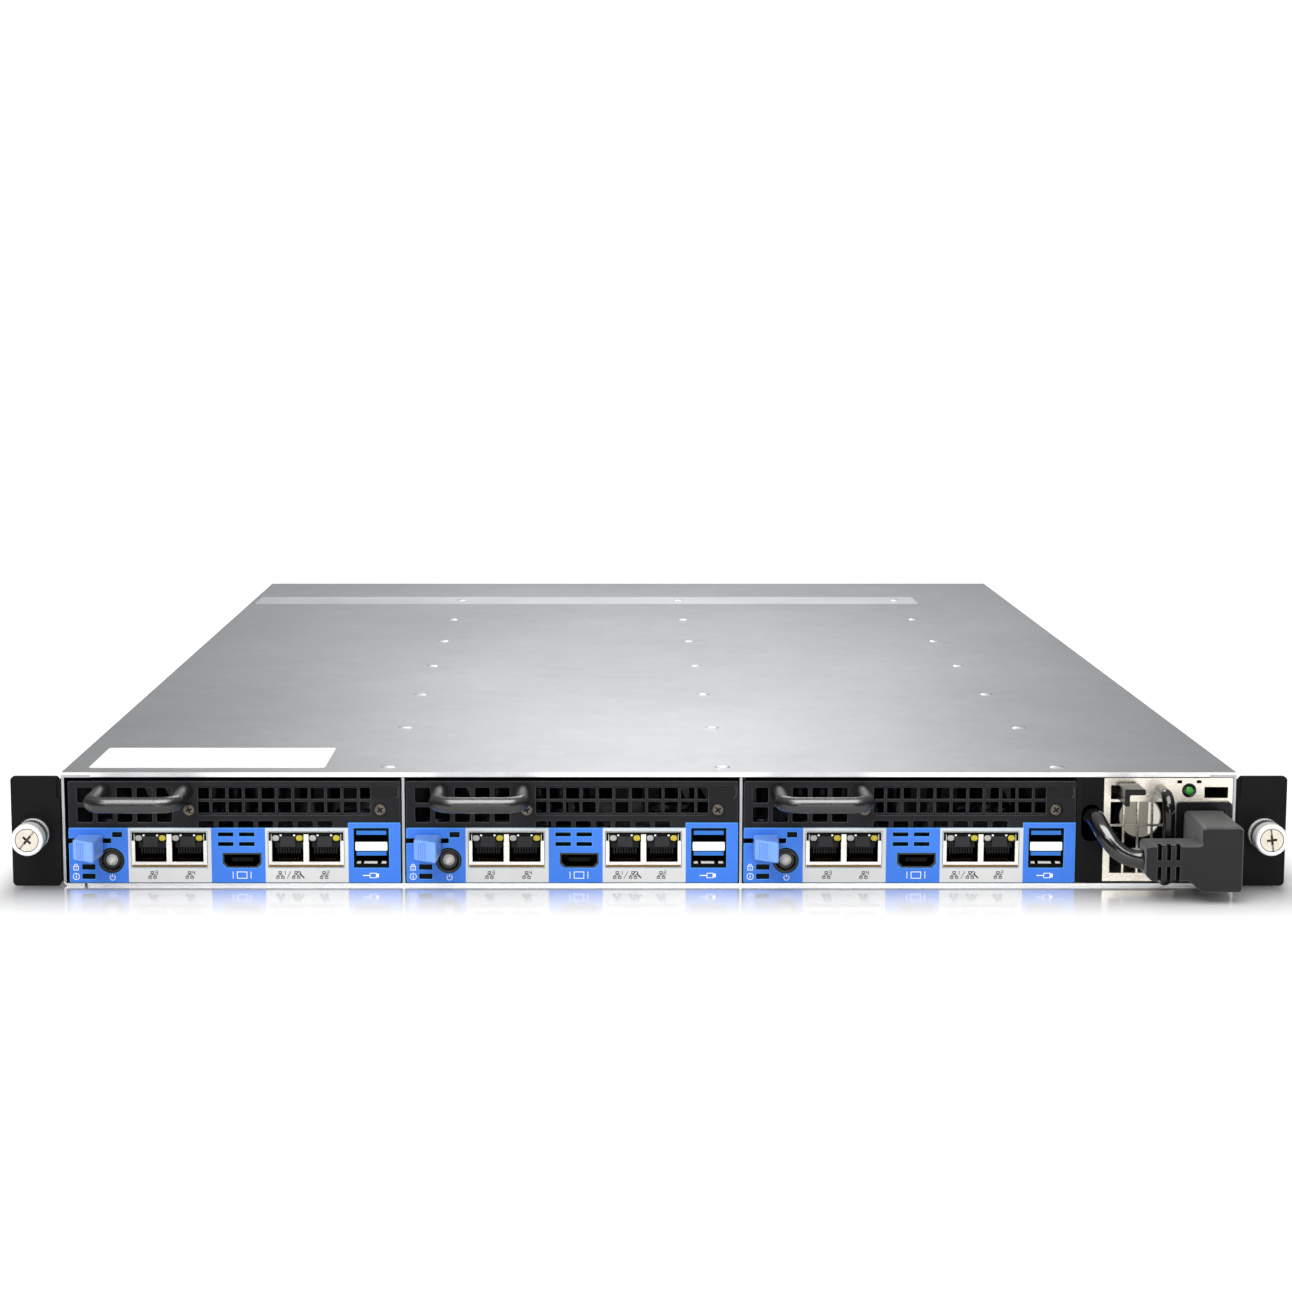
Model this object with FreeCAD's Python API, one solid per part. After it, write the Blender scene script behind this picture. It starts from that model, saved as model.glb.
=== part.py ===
import FreeCAD, Part
import math
import os
from FreeCAD import Vector as V

# Multi-node rack server, 1U high, three front-pull sleds and one power supply.
# Units are mm. X runs to the right, Y to the rear, Z up.
# Origin: middle of the width, rack mounting plane, underside of the floor.

# Sheet metal and running clearances
SHEET = 1.0
COVER = 1.0
EAR_THICK = 2.0
FIT = 0.15
RUN = 0.3
LOOSE = 0.6
TRAY_LIFT = 0.44
WALL_LINER = 0.8

# Front panel of one sled, block by block from the left
LATCH_BLOCK = 22.0
JACK_BLOCK = 31.9
VIDEO_BLOCK = 20.0
USB_BLOCK = 19.8
FACE_HEIGHT = 38.9
IO_HEIGHT = 21.1
USB_BLOCK_RISE = 2.0
FACE_SHEET = 1.2
IO_SHEET = 0.8
FACE_RETURN = 9.0
FACE_CORNER = 0.6

# Chassis
BAY_COUNT = 3
CHASSIS_DEPTH = 650.0
TOP_GAP = 1.46
EAR_WIDTH = 19.3
EAR_FLANGE = 45.0
EAR_FLANGE_THICK = 1.4
EAR_CORNER = 1.6
EAR_INSET = 0.9
EAR_NOTCH = 1.2
EAR_NOTCH_HEIGHT = 8.5
FOLD_RADIUS = 1.8
WALL_RETURN = 9.0
LINER_SET_BACK = 14.0
DIVIDER_RETURN = 14.0
COVER_HEM = 0.8
RELIEF_WIDTH = 1.2
RELIEF_DEPTH = 3.0
RELIEF_INSET = 8.5

# Cover rivets
RIVET_RADIUS = 2.9
RIVET_SHOULDER = 2.3
RIVET_CROWN = 1.3
RIVET_RISE = 0.5
RIVET_SHOULDER_RISE = 0.35
RIVET_ROWS = 7
RIVET_PITCH = 91.5
RIVET_FIRST = 11.0

# Thumbscrews
THUMB_OFFSET = 10.55
THUMB_HEIGHT = 20.6
THUMB_RADIUS = 6.0
THUMB_LENGTH = 12.4
THUMB_COLLAR = 2.6
THUMB_BAND = 4.0
THUMB_GROOVE = 0.4
THUMB_BEVEL = 0.5
THUMB_FACE = 4.2
THUMB_RING = 0.3
THUMB_RING_DEPTH = 0.5
THUMB_SLOT = 0.7
THUMB_SLOT_DEPTH = 0.8
THUMB_CROSS = 1.9
THUMB_CROSS_WIDTH = 0.9
THUMB_CROSS_DEPTH = 2.0
THUMB_TURNS = (50.0, 97.0)
THUMB_SHANK = 3.4
THUMB_THREAD = 2.95
THUMB_TIP = 10.0
THUMB_TEETH = 36
THUMB_TOOTH = 0.28
THUMB_FIT = 0.08
FERRULE_RADIUS = 6.6
FERRULE_RISE = 1.6

# Sled tray and boards
TRAY_DEPTH = 500.0
TRAY_WALL = 36.0
TRAY_REAR_WALL = 3.0
STANDOFF_RADIUS = 2.8
BOARD = 1.6
BOARD_INSET = 2.6
BOARD_NOTCH = 60.0
SINK_SIDE = 78.0
SINK_BASE = 4.0
SINK_FIN = 0.9
SINK_FIN_HEIGHT = 19.0
SINK_FIN_COUNT = 19
SINK_SET_BACK = 150.0
SOCKET_HEIGHT = 4.5
SOCKET_SHARE = 0.6
DIMM_LENGTH = 142.0
DIMM_WIDTH = 6.4
DIMM_HEIGHT = 9.0
DIMM_PITCH = 8.6
DIMM_GROOVE = 1.8
DIMM_GROOVE_DEPTH = 5.5
DIMM_LATCH = 6.0
DIMM_LATCH_HEIGHT = 14.0
CHOKE_SIDE = 7.0
CHOKE_COUNT = 6
CHOKE_AHEAD = 21.0
CHIP_BEHIND = 60.0
CHIP_SINK_SIDE = 30.0
CHIP_SINK_BASE = 3.0
CHIP_SINK_HEIGHT = 12.0
CHIP_FIN = 1.2
CHIP_FIN_COUNT = 9
LINK_WIDTH = 62.0
LINK_HEIGHT = 9.0
LINK_DEPTH = 16.0
LINK_TONGUE = 3.0
LINK_TONGUE_INSET = 4.0

# Vents of the sled face
VENT_COLS = 5
VENT_HOLE = 5.9
VENT_PITCH = 7.5
VENT_CORNER = 0.8
VENT_INSET = 3.35
VENT_TOP_MARGIN = 2.4
ROW_TOP_GAP = 2.3
WINDOW_GAP = 9.85
WINDOW_RIGHT_MARGIN = 11.3
WINDOW_HEIGHT = 11.3
WINDOW_TOP_MARGIN = 1.64
BADGE_WIDTH = 9.4
BADGE_HEIGHT = 4.4
BADGE_RIGHT = 0.8
BADGE_TOP = 1.9
BADGE_DEPTH = 0.3

# Slot cover behind the window
GRID_PITCH = 6.22
GRID_BAR = 1.05
GRID_ROWS = 2
SLOT_COVER_TAB = 6.2
SLOT_COVER_LIP = 0.5

# Sled handle
HANDLE_ROD = 3.0
HANDLE_REACH = 28.0
HANDLE_BEND = 6.5
HANDLE_LEFT = 13.0
HANDLE_SPAN = 31.3
HANDLE_DROP = 3.75
STUD_RADIUS = 2.0
STUD_LENGTH = 4.0

# Latch of a sled
LATCH_PLATE = 1.2
LATCH_HEIGHT = 16.13
LATCH_SLOT = 2.0
LATCH_SLOT_END = 16.1
LATCH_PIVOT_IN = 9.0
LATCH_PIVOT_BACK = 36.0
LATCH_PIVOT_RADIUS = 2.0
LATCH_EYE = 4.6
LATCH_NECK_LEFT = 4.2
LATCH_NECK = 4.6
LATCH_ARM_LEFT = 3.0
LATCH_ARM = 8.0
HOOK_FRONT = 5.0
HOOK_FLAT = 1.5
HOOK_LENGTH = 6.0
HOOK_REACH = 0.3
HOOK_PLAY = 1.3
TAB_LEFT = 3.5
TAB_WIDTH = 9.7
TAB_RIDGE_IN = 1.0
TAB_SLOPE = 6.3
TAB_BELOW = 5.3
TAB_ABOVE = 2.7
TAB_REAR_GAP = 1.4
TAB_LENGTH = 15.3
TAB_RIBS = 4
TAB_RIB_FIRST = 1.9
TAB_RIB_PITCH = 0.85
TAB_RIB_CUT = 0.4
TAB_EDGE = 0.9

# Power button and indicator windows
BUTTON_IN = 16.0
BUTTON_HEIGHT = 8.5
BUTTON_RADIUS = 4.65
BUTTON_RIM = 0.7
BUTTON_PROUD = 0.3
BUTTON_DISH = 1.7
BUTTON_LENS = 2.2
BUTTON_STEM = 3.0
BUTTON_STEM_LENGTH = 7.0
LED_SLOT_HEIGHT = 2.1
LED_TOP_LEFT = 16.4
LED_TOP_WIDTH = 3.8
LED_TOP_HEIGHT = 18.5
LED_LEFT = 4.8
LED_WIDTH = 5.0
LED_HEIGHTS = (6.05, 2.4)

# Port blocks of a sled
BOARD_TOP_RISE = 5.86
JACK_WIDTH = 28.6
JACK_TOP = 19.7
JACK_DEPTH = 22.0
PORT_WIDTH = 11.9
PORT_GAP = 2.1
PORT_HEIGHT = 7.6
PORT_FLOOR = 2.2
PORT_DEPTH = 12.5
PORT_KEY_WIDTH = 6.0
PORT_KEY_HEIGHT = 2.2
VIDEO_WIDTH = 14.5
VIDEO_HEIGHT = 5.5
VIDEO_OFFSET = 1.6
VIDEO_WALL = 0.45
VIDEO_CHAMFER = 1.6
VIDEO_DEPTH = 11.5
VIDEO_TONGUE = 1.2
USB_WIDTH = 13.1
USB_TOP = 20.9
USB_OFFSET = -1.15
USB_WALL = 0.4
USB_PORT_HEIGHT = 5.2
USB_PITCH = 8.0
USB_DEPTH = 17.5
USB_TONGUE = 1.6
USB_TONGUE_DROP = 0.5
SLOT_VENT_WIDTH = 5.9
SLOT_VENT_HEIGHT = 1.6
SLOT_VENT_GAP = 2.1
SLOT_VENT_PITCH = 3.75
SLOT_VENT_TOP = 19.4
SLOT_VENT_OFFSET = -0.5

# Fans
FAN_DEPTH = 28.0
FAN_TOP_GAP = 0.8
FAN_WALL = 1.0
FAN_TIP_GAP = 0.6
FAN_HUB_SHARE = 0.6
FAN_EDGE_SHARE = 0.12
FAN_ROOT_SINK = 0.9
FAN_PITCHES = (58.0, 38.0)
FAN_CHORDS = (0.8, 0.95)
FAN_BLADES = 7
FAN_BLADE = 1.0
FAN_SPREAD = 58.0
FAN_MOTOR_DEPTH = 5.0
FAN_STRUT = 2.4
PSU_FAN_BACK = 24.0

# Midplane
MID_GAP = 9.0
MID_BOARD = 2.4
MID_SOCKET = 7.0
MID_WINDOW = 24.0

# Power supply
PSU_WIDTH = 48.6
PSU_DEPTH = 300.0
PSU_LIFT = 0.84
PSU_SIDE_GAP = 0.2
PSU_TOP_GAP = 0.16
PSU_WALL = 1.0
GRILLE_LEFT = 2.6
GRILLE_COLS = 4
GRILLE_PITCH = 5.4
GRILLE_BAR = 0.8
GRILLE_ROWS = 3
GRILLE_BOTTOM = 3.2
GRILLE_ROW_PITCH = 9.4
PSU_SLOT_LEFT = 2.6
PSU_SLOT_WIDTH = 7.0
PSU_SLOT_HEIGHT = 5.4
PSU_SLOT_TOP = 2.8
PSU_LAMP_RIGHT = 16.5
PSU_LAMP_TOP = 4.8
PSU_LAMP_RADIUS = 2.7
PSU_LAMP_LENS = 1.7
PSU_LAMP_CROWN = 1.0
PSU_LAMP_SHOULDER = 0.2
PSU_LAMP_GROOVE = 0.15
PSU_NOTCH_SPREAD = 7.3
PSU_NOTCH_WIDTH = 1.8
PSU_NOTCH_HEIGHT = 1.1
PSU_NOTCH_TOP = 1.5
PSU_PORT_RIGHT = 1.8
PSU_PORT_WIDTH = 8.9
PSU_PORT_HEIGHT = 4.2
PSU_PORT_TOP = 3.5
PSU_ROD = 2.25
PSU_ROD_IN = 21.2
PSU_ROD_REACH = 16.0
PSU_ROD_BEND = 6.0
PSU_ROD_TOP = 4.6
PSU_ROD_BOTTOM = 3.0
PSU_STUD = 1.35
PSU_LINK_REACH = 6.0
PSU_LATCH_IN = 5.2
PSU_LATCH_LEAF = 0.8
PSU_LATCH_PIVOT = 18.0
PSU_LATCH_PIN = 1.2
PSU_LATCH_EYE = 2.6
PSU_LATCH_GAP = 0.06
PSU_TAB_REACH = 15.0
PSU_TAB_GAP = 2.5
PSU_TAB_UPRIGHT = 1.9
PSU_TAB_BAR = 7.8
PSU_TAB_THICK = 2.2
PSU_TAB_TOP = 1.6
PSU_TAB_HEIGHT = 6.5
PSU_TAB_EDGE = 0.6

# Mains inlet and right-angle plug
INLET_RIGHT = 10.9
INLET_RISE = 15.3
INLET_WIDTH = 15.4
INLET_HEIGHT = 24.6
INLET_CHAMFER = 4.0
INLET_DEPTH = 16.0
INLET_FLANGE = 1.5
INLET_FLANGE_X = 2.8
INLET_FLANGE_Z = 3.2
INLET_WALL = 1.5
INLET_BACK = 2.0
PIN_WIDTH = 4.0
PIN_THICK = 2.0
PIN_LENGTH = 12.0
PIN_SPREAD = 7.0
PIN_OFFSET = 2.0
PIN_PLAY = 0.5
PLUG_PLAY = 0.4
PLUG_NOSE = 14.0
PLUG_WIDTH = 15.0
PLUG_HEIGHT = 24.4
PLUG_REACH = 33.0
PLUG_CORNER = 1.6
PLUG_EDGE = 0.9
ARM_REACH = 20.5
ARM_DEPTH = 13.0
ARM_HEIGHT = 13.5
ARM_DROP = 1.3
ARM_CORNER = 2.2
GUSSET = 4.5
RELIEF_SLOTS = 3
RELIEF_SLOT = 1.5
RELIEF_PITCH = 3.4
RELIEF_SPINE = 2.3
RELIEF_CUT = 3.0
RELIEF_FIRST = 4.0

# Mains lead and filler strip
CORD_DIAMETER = 6.8
CORD_HEIGHT = 27.4
SLOT_TOP = 31.4
SLOT_BOTTOM = 17.1
FILLER_WEB = 0.65
FILLER_FLANGE = 12.0
REAR_INLET_OFFSET = 10.0
ARC_SHARE = 0.45
CORD_SEAT = 6.0
CORD_SEAT_FIT = 0.05
CORD_DROPS = (0.2, 0.58, 0.93)
CORD_LEAVE = 8.0

# Derived layout across the width
FRONT = -EAR_THICK
FACE_WIDTH = LATCH_BLOCK + 2 * JACK_BLOCK + VIDEO_BLOCK + USB_BLOCK
BAY_PITCH = FACE_WIDTH + 2 * LOOSE + SHEET
SLOT_WIDTH = CORD_DIAMETER + 2 * RUN
FILLER_WIDTH = SLOT_WIDTH + 2 * FILLER_WEB
INNER_WIDTH = BAY_COUNT * BAY_PITCH + FILLER_WIDTH + RUN + PSU_WIDTH + PSU_SIDE_GAP
CHASSIS_WIDTH = INNER_WIDTH + WALL_LINER + 2 * SHEET
HALF = CHASSIS_WIDTH / 2
INNER_LEFT = -HALF + SHEET + WALL_LINER
INNER_RIGHT = HALF - SHEET
FILLER_LEFT = INNER_LEFT + BAY_COUNT * BAY_PITCH
FILLER_RIGHT = FILLER_LEFT + FILLER_WIDTH
PSU_LEFT = INNER_RIGHT - PSU_SIDE_GAP - PSU_WIDTH
PSU_RIGHT = PSU_LEFT + PSU_WIDTH
CORD_X = (FILLER_LEFT + FILLER_RIGHT) / 2
JACK_BLOCK_1 = LATCH_BLOCK
VIDEO_BLOCK_1 = JACK_BLOCK_1 + JACK_BLOCK
JACK_BLOCK_2 = VIDEO_BLOCK_1 + VIDEO_BLOCK
USB_BLOCK_1 = JACK_BLOCK_2 + JACK_BLOCK
WINDOW_LEFT = VENT_INSET + (VENT_COLS - 1) * VENT_PITCH + VENT_HOLE + WINDOW_GAP
WINDOW_RIGHT = FACE_WIDTH - WINDOW_RIGHT_MARGIN

# Derived layout over the height
FLOOR_TOP = SHEET
FACE_BOTTOM = FLOOR_TOP + TRAY_LIFT
FACE_TOP = FACE_BOTTOM + FACE_HEIGHT
RETURN_BOTTOM = FACE_TOP + TOP_GAP
RETURN_TOP = RETURN_BOTTOM + SHEET
CHASSIS_HEIGHT = RETURN_TOP + COVER
IO_TOP = FACE_BOTTOM + IO_HEIGHT
LATCH_Z = FACE_BOTTOM + LATCH_HEIGHT
BOARD_TOP = FACE_BOTTOM + BOARD_TOP_RISE
WINDOW_TOP = FACE_TOP - WINDOW_TOP_MARGIN
WINDOW_BOTTOM = WINDOW_TOP - WINDOW_HEIGHT
TRAY_FLOOR_TOP = FACE_BOTTOM + SHEET
PSU_BOTTOM = FLOOR_TOP + PSU_LIFT
PSU_TOP = RETURN_BOTTOM - PSU_TOP_GAP
PSU_HEIGHT = PSU_TOP - PSU_BOTTOM
INLET_X = PSU_RIGHT - INLET_RIGHT
INLET_Z = PSU_BOTTOM + INLET_RISE

# Derived layout over the depth
FACE_BACK = FRONT + FACE_SHEET
IO_FRONT = FRONT - IO_SHEET
TRAY_END = FACE_BACK + TRAY_DEPTH
CHASSIS_END = FRONT + CHASSIS_DEPTH
REAR_FACE = CHASSIS_END - SHEET
MID_FRONT = TRAY_END + MID_GAP
FAN_SIZE = RETURN_BOTTOM - FLOOR_TOP - FAN_TOP_GAP
FAN_Z = FLOOR_TOP + FAN_SIZE / 2
FAN_FRONT = REAR_FACE - FAN_DEPTH
REAR_INLET_X = CORD_X + REAR_INLET_OFFSET
REAR_INLET_Z = (FLOOR_TOP + RETURN_BOTTOM) / 2
INLET_LENGTH = INLET_DEPTH + INLET_BACK - INLET_FLANGE
CORD_START = CHASSIS_END - INLET_LENGTH


def block(x, y, z):
    """Box between the two ends given for each axis."""
    size = (x[1] - x[0], y[1] - y[0], z[1] - z[0])
    return Part.makeBox(size[0], size[1], size[2], V(x[0], y[0], z[0]))


def rod(x, z, radius, y):
    """Cylinder along Y."""
    return Part.makeCylinder(radius, y[1] - y[0], V(x, y[0], z), V(0, 1, 0))


def post(x, y, radius, z):
    """Cylinder along Z."""
    return Part.makeCylinder(radius, z[1] - z[0], V(x, y, z[0]), V(0, 0, 1))


def closed_face(points):
    """Flat face inside a closed polygon."""
    return Part.Face(Part.makePolygon(points + points[:1]))


def prism_y(points, y):
    """Prism along Y over (x, z) points."""
    face = closed_face([V(p[0], y[0], p[1]) for p in points])
    return face.extrude(V(0, y[1] - y[0], 0))


def prism_z(points, z):
    """Prism along Z over (x, y) points."""
    face = closed_face([V(p[0], p[1], z[0]) for p in points])
    return face.extrude(V(0, 0, z[1] - z[0]))


def rounded_y(x, z, radius, y):
    """Prism along Y over a rectangle with round corners."""
    solid = block(x, y, z)
    edges = [e for e in solid.Edges if abs(e.Vertexes[0].Y - e.Vertexes[1].Y) > radius / 2]
    return solid.makeFillet(radius, edges)


def obround_y(x, z, y):
    """Upright slot with half-round ends, as a prism along Y."""
    radius = (x[1] - x[0]) / 2
    centre = (x[0] + x[1]) / 2
    middle = block(x, y, (z[0] + radius, z[1] - radius))
    ends = [rod(centre, z[0] + radius, radius, y), rod(centre, z[1] - radius, radius, y)]
    return middle.fuse(ends).removeSplitter()


def bend_radius(before, corner, after):
    """Largest even arc at a corner, from its shorter run and its turn."""
    first = corner - before
    second = after - corner
    turn = first.getAngle(second)
    return ARC_SHARE * min(first.Length, second.Length) / math.tan(turn / 2)


def bent_wire(points, radii):
    """Wire of straight runs and tangent arcs through the corner points."""
    edges = []
    last = points[0]
    for i in range(1, len(points) - 1):
        back = (points[i - 1] - points[i]).normalize()
        ahead = (points[i + 1] - points[i]).normalize()
        half = back.getAngle(ahead) / 2
        radius = radii[i - 1]
        start = points[i] + back * (radius / math.tan(half))
        end = points[i] + ahead * (radius / math.tan(half))
        inward = (back + ahead).normalize()
        centre = points[i] + inward * (radius / math.sin(half))
        edges.append(Part.LineSegment(last, start).toShape())
        edges.append(Part.Arc(start, centre - inward * radius, end).toShape())
        last = end
    edges.append(Part.LineSegment(last, points[-1]).toShape())
    return Part.Wire(edges)


def tube(points, radii, radius):
    """Round bar swept along a bent wire."""
    ring = Part.Wire(Part.makeCircle(radius, points[0], points[1] - points[0]))
    return bent_wire(points, radii).makePipeShell([ring], True, False)


def ring_profile(points, x, z):
    """Turned solid about a Y axis, from (radius, y) points."""
    face = closed_face([V(x + p[0], p[1], z) for p in points])
    return face.revolve(V(x, 0, z), V(0, 1, 0), 360)


def turned_z(points, x, y):
    """Turned solid about a Z axis, from (radius, z) points."""
    face = closed_face([V(x + p[0], y, p[1]) for p in points])
    return face.revolve(V(x, y, 0), V(0, 0, 1), 360)


def union(shapes):
    """One solid out of touching or overlapping shapes."""
    return shapes[0].fuse(shapes[1:]).removeSplitter()


def save(node, shapes):
    """Write one node, as a single solid or a group of separate solids."""
    shape = shapes[0] if len(shapes) == 1 else Part.makeCompound(shapes)
    for solid in shape.Solids:
        if not solid.isValid() or solid.Volume <= 0:
            raise ValueError("bad solid in " + node)
    shape.exportStep("parts/" + node + ".step")


def face_left(bay):
    """Left edge of a sled face."""
    return INNER_LEFT + bay * BAY_PITCH + LOOSE


# Openings shared by the face plate and the port panel of a sled

def latch_slot_cut(y):
    """Slot that the latch lever moves along, open at the left edge."""
    half = LATCH_SLOT / 2
    return block((-LOOSE, LATCH_SLOT_END), y, (LATCH_Z - half, LATCH_Z + half))


def led_cuts(y):
    """Three indicator windows of the latch block."""
    top = FACE_BOTTOM + LED_TOP_HEIGHT
    half = LED_SLOT_HEIGHT / 2
    cuts = [block((LED_TOP_LEFT, LED_TOP_LEFT + LED_TOP_WIDTH), y, (top - half, top + half))]
    for height in LED_HEIGHTS:
        z = FACE_BOTTOM + height
        cuts.append(block((LED_LEFT, LED_LEFT + LED_WIDTH), y, (z - half, z + half)))
    return cuts


def jack_lefts():
    """Left edges of the two network jack blocks."""
    inset = (JACK_BLOCK - JACK_WIDTH) / 2
    return [JACK_BLOCK_1 + inset, JACK_BLOCK_2 + inset]


def video_outline(grow):
    """Outline of the video port in X and Z, grown by a clearance."""
    centre = VIDEO_BLOCK_1 + VIDEO_BLOCK / 2 + VIDEO_OFFSET
    left = centre - VIDEO_WIDTH / 2 - grow
    right = centre + VIDEO_WIDTH / 2 + grow
    low = BOARD_TOP - grow
    high = BOARD_TOP + VIDEO_HEIGHT + grow
    cut = VIDEO_CHAMFER
    lower = [(left + cut, low), (right - cut, low), (right, low + cut)]
    return lower + [(right, high), (left, high), (left, low + cut)]


def usb_left():
    """Left edge of the stacked data port."""
    return USB_BLOCK_1 + USB_BLOCK / 2 + USB_OFFSET - USB_WIDTH / 2


def port_cuts(y, play):
    """Cut-outs for every jack of the board."""
    cuts = []
    for left in jack_lefts():
        z = (BOARD_TOP - play, FACE_BOTTOM + JACK_TOP + play)
        cuts.append(block((left - play, left + JACK_WIDTH + play), y, z))
    cuts.append(prism_y(video_outline(play), y))
    left = usb_left()
    z = (BOARD_TOP - play, FACE_BOTTOM + USB_TOP + play)
    cuts.append(block((left - play, left + USB_WIDTH + play), y, z))
    return cuts


def slot_vent_cuts(y):
    """Four small vents above the video port."""
    centre = VIDEO_BLOCK_1 + VIDEO_BLOCK / 2 + SLOT_VENT_OFFSET
    cuts = []
    for row in range(2):
        top = FACE_BOTTOM + SLOT_VENT_TOP - row * SLOT_VENT_PITCH
        z = (top - SLOT_VENT_HEIGHT, top)
        right = centre - SLOT_VENT_GAP / 2
        cuts.append(block((right - SLOT_VENT_WIDTH, right), y, z))
        left = centre + SLOT_VENT_GAP / 2
        cuts.append(block((left, left + SLOT_VENT_WIDTH), y, z))
    return cuts


# Sled pieces, built once at the left edge of a face

def handle_height():
    """Height of the handle rod above the floor."""
    return FACE_TOP - HANDLE_DROP


def build_face_plate():
    """Black front plate with vents, window and port cut-outs."""
    y = (FRONT, FACE_BACK)
    through = (IO_FRONT, FACE_BACK + RUN)
    plate = rounded_y((0, FACE_WIDTH), (FACE_BOTTOM, FACE_TOP), FACE_CORNER, y)
    lip_y = (FRONT + FACE_SHEET / 2, FACE_BACK + FACE_RETURN)
    lip = block((SHEET, FACE_WIDTH - SHEET), lip_y, (FACE_TOP - SHEET, FACE_TOP))
    cuts = []
    for row in range(2):
        top = FACE_TOP - VENT_TOP_MARGIN - row * VENT_PITCH
        for col in range(VENT_COLS):
            left = VENT_INSET + col * VENT_PITCH
            centre = left + VENT_HOLE / 2
            if row == 0 and abs(centre - HANDLE_LEFT) < VENT_PITCH / 2:
                continue
            width = (left, left + VENT_HOLE)
            cuts.append(rounded_y(width, (top - VENT_HOLE, top), VENT_CORNER, through))
    row_top = WINDOW_BOTTOM - ROW_TOP_GAP
    row_count = int((USB_BLOCK_1 - WINDOW_LEFT) / VENT_PITCH)
    for col in range(row_count):
        left = WINDOW_LEFT + col * VENT_PITCH
        width = (left, left + VENT_HOLE)
        cuts.append(rounded_y(width, (row_top - VENT_HOLE / 2, row_top), VENT_CORNER, through))
    window_z = (WINDOW_BOTTOM, WINDOW_TOP)
    cuts.append(rounded_y((WINDOW_LEFT, WINDOW_RIGHT), window_z, VENT_CORNER, through))
    cuts.extend(port_cuts(through, RUN))
    cuts.extend(slot_vent_cuts(through))
    cuts.extend(led_cuts(through))
    cuts.append(latch_slot_cut(through))
    cuts.append(rod(BUTTON_IN, FACE_BOTTOM + BUTTON_HEIGHT, BUTTON_RADIUS + RUN, through))
    badge_right = FACE_WIDTH - BADGE_RIGHT
    badge_top = FACE_TOP - BADGE_TOP
    badge_z = (badge_top - BADGE_HEIGHT, badge_top)
    badge_x = (badge_right - BADGE_WIDTH, badge_right)
    cuts.append(rounded_y(badge_x, badge_z, VENT_CORNER, (FRONT - RUN, FRONT + BADGE_DEPTH)))
    for x in (HANDLE_LEFT, HANDLE_LEFT + HANDLE_SPAN):
        cuts.append(rod(x, handle_height(), STUD_RADIUS + FIT, through))
    return [plate.fuse(lip).cut(cuts).removeSplitter()]


def build_io_plate():
    """Coloured port panel that lies on the front plate."""
    y = (IO_FRONT, FRONT)
    through = (IO_FRONT - RUN, FRONT + RUN)
    panel = rounded_y((0, FACE_WIDTH), (FACE_BOTTOM, IO_TOP), FACE_CORNER, y)
    rise = block((USB_BLOCK_1, FACE_WIDTH), y, (IO_TOP - USB_BLOCK_RISE, IO_TOP + USB_BLOCK_RISE))
    cuts = port_cuts(through, FIT)
    cuts.extend(slot_vent_cuts(through))
    cuts.extend(led_cuts(through))
    cuts.append(latch_slot_cut(through))
    cuts.append(rod(BUTTON_IN, FACE_BOTTOM + BUTTON_HEIGHT, BUTTON_RADIUS + RUN, through))
    return [panel.fuse(rise).cut(cuts).removeSplitter()]


def build_slot_cover():
    """Vented blank of the expansion slot, behind the window."""
    y = (FACE_BACK, FACE_BACK + SHEET)
    through = (FACE_BACK - RUN, FACE_BACK + SHEET + RUN)
    z = (WINDOW_BOTTOM - SLOT_COVER_LIP, FACE_TOP - SHEET - FIT)
    plate = block((WINDOW_LEFT - SLOT_COVER_TAB, WINDOW_RIGHT + SLOT_COVER_TAB), y, z)
    count = int((WINDOW_RIGHT - WINDOW_LEFT) / GRID_PITCH) + 1
    start = (WINDOW_LEFT + WINDOW_RIGHT - count * GRID_PITCH + GRID_BAR) / 2
    row_pitch = (WINDOW_HEIGHT - SLOT_COVER_LIP) / GRID_ROWS
    cuts = []
    for row in range(GRID_ROWS):
        low = WINDOW_BOTTOM + SLOT_COVER_LIP + row * row_pitch
        for col in range(count):
            left = start + col * GRID_PITCH
            width = (left, left + GRID_PITCH - GRID_BAR)
            cuts.append(block(width, through, (low, low + row_pitch - GRID_BAR)))
    stud_low = handle_height() - STUD_RADIUS - LOOSE
    cuts.append(block((0, WINDOW_LEFT - SLOT_COVER_LIP), through, (stud_low, FACE_TOP)))
    return [plate.cut(cuts)]


def build_handle():
    """Bent rod handle with two studs through the front plate."""
    z = handle_height()
    right = HANDLE_LEFT + HANDLE_SPAN
    tip = FRONT - HANDLE_REACH
    points = [V(HANDLE_LEFT, FRONT, z), V(HANDLE_LEFT, tip, z), V(right, tip, z), V(right, FRONT, z)]
    bar = tube(points, [HANDLE_BEND, HANDLE_BEND], HANDLE_ROD)
    stud_y = (FRONT - STUD_LENGTH, FRONT + STUD_LENGTH)
    studs = [rod(x, z, STUD_RADIUS, stud_y) for x in (HANDLE_LEFT, right)]
    return [bar.fuse(studs).removeSplitter()]


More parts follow.
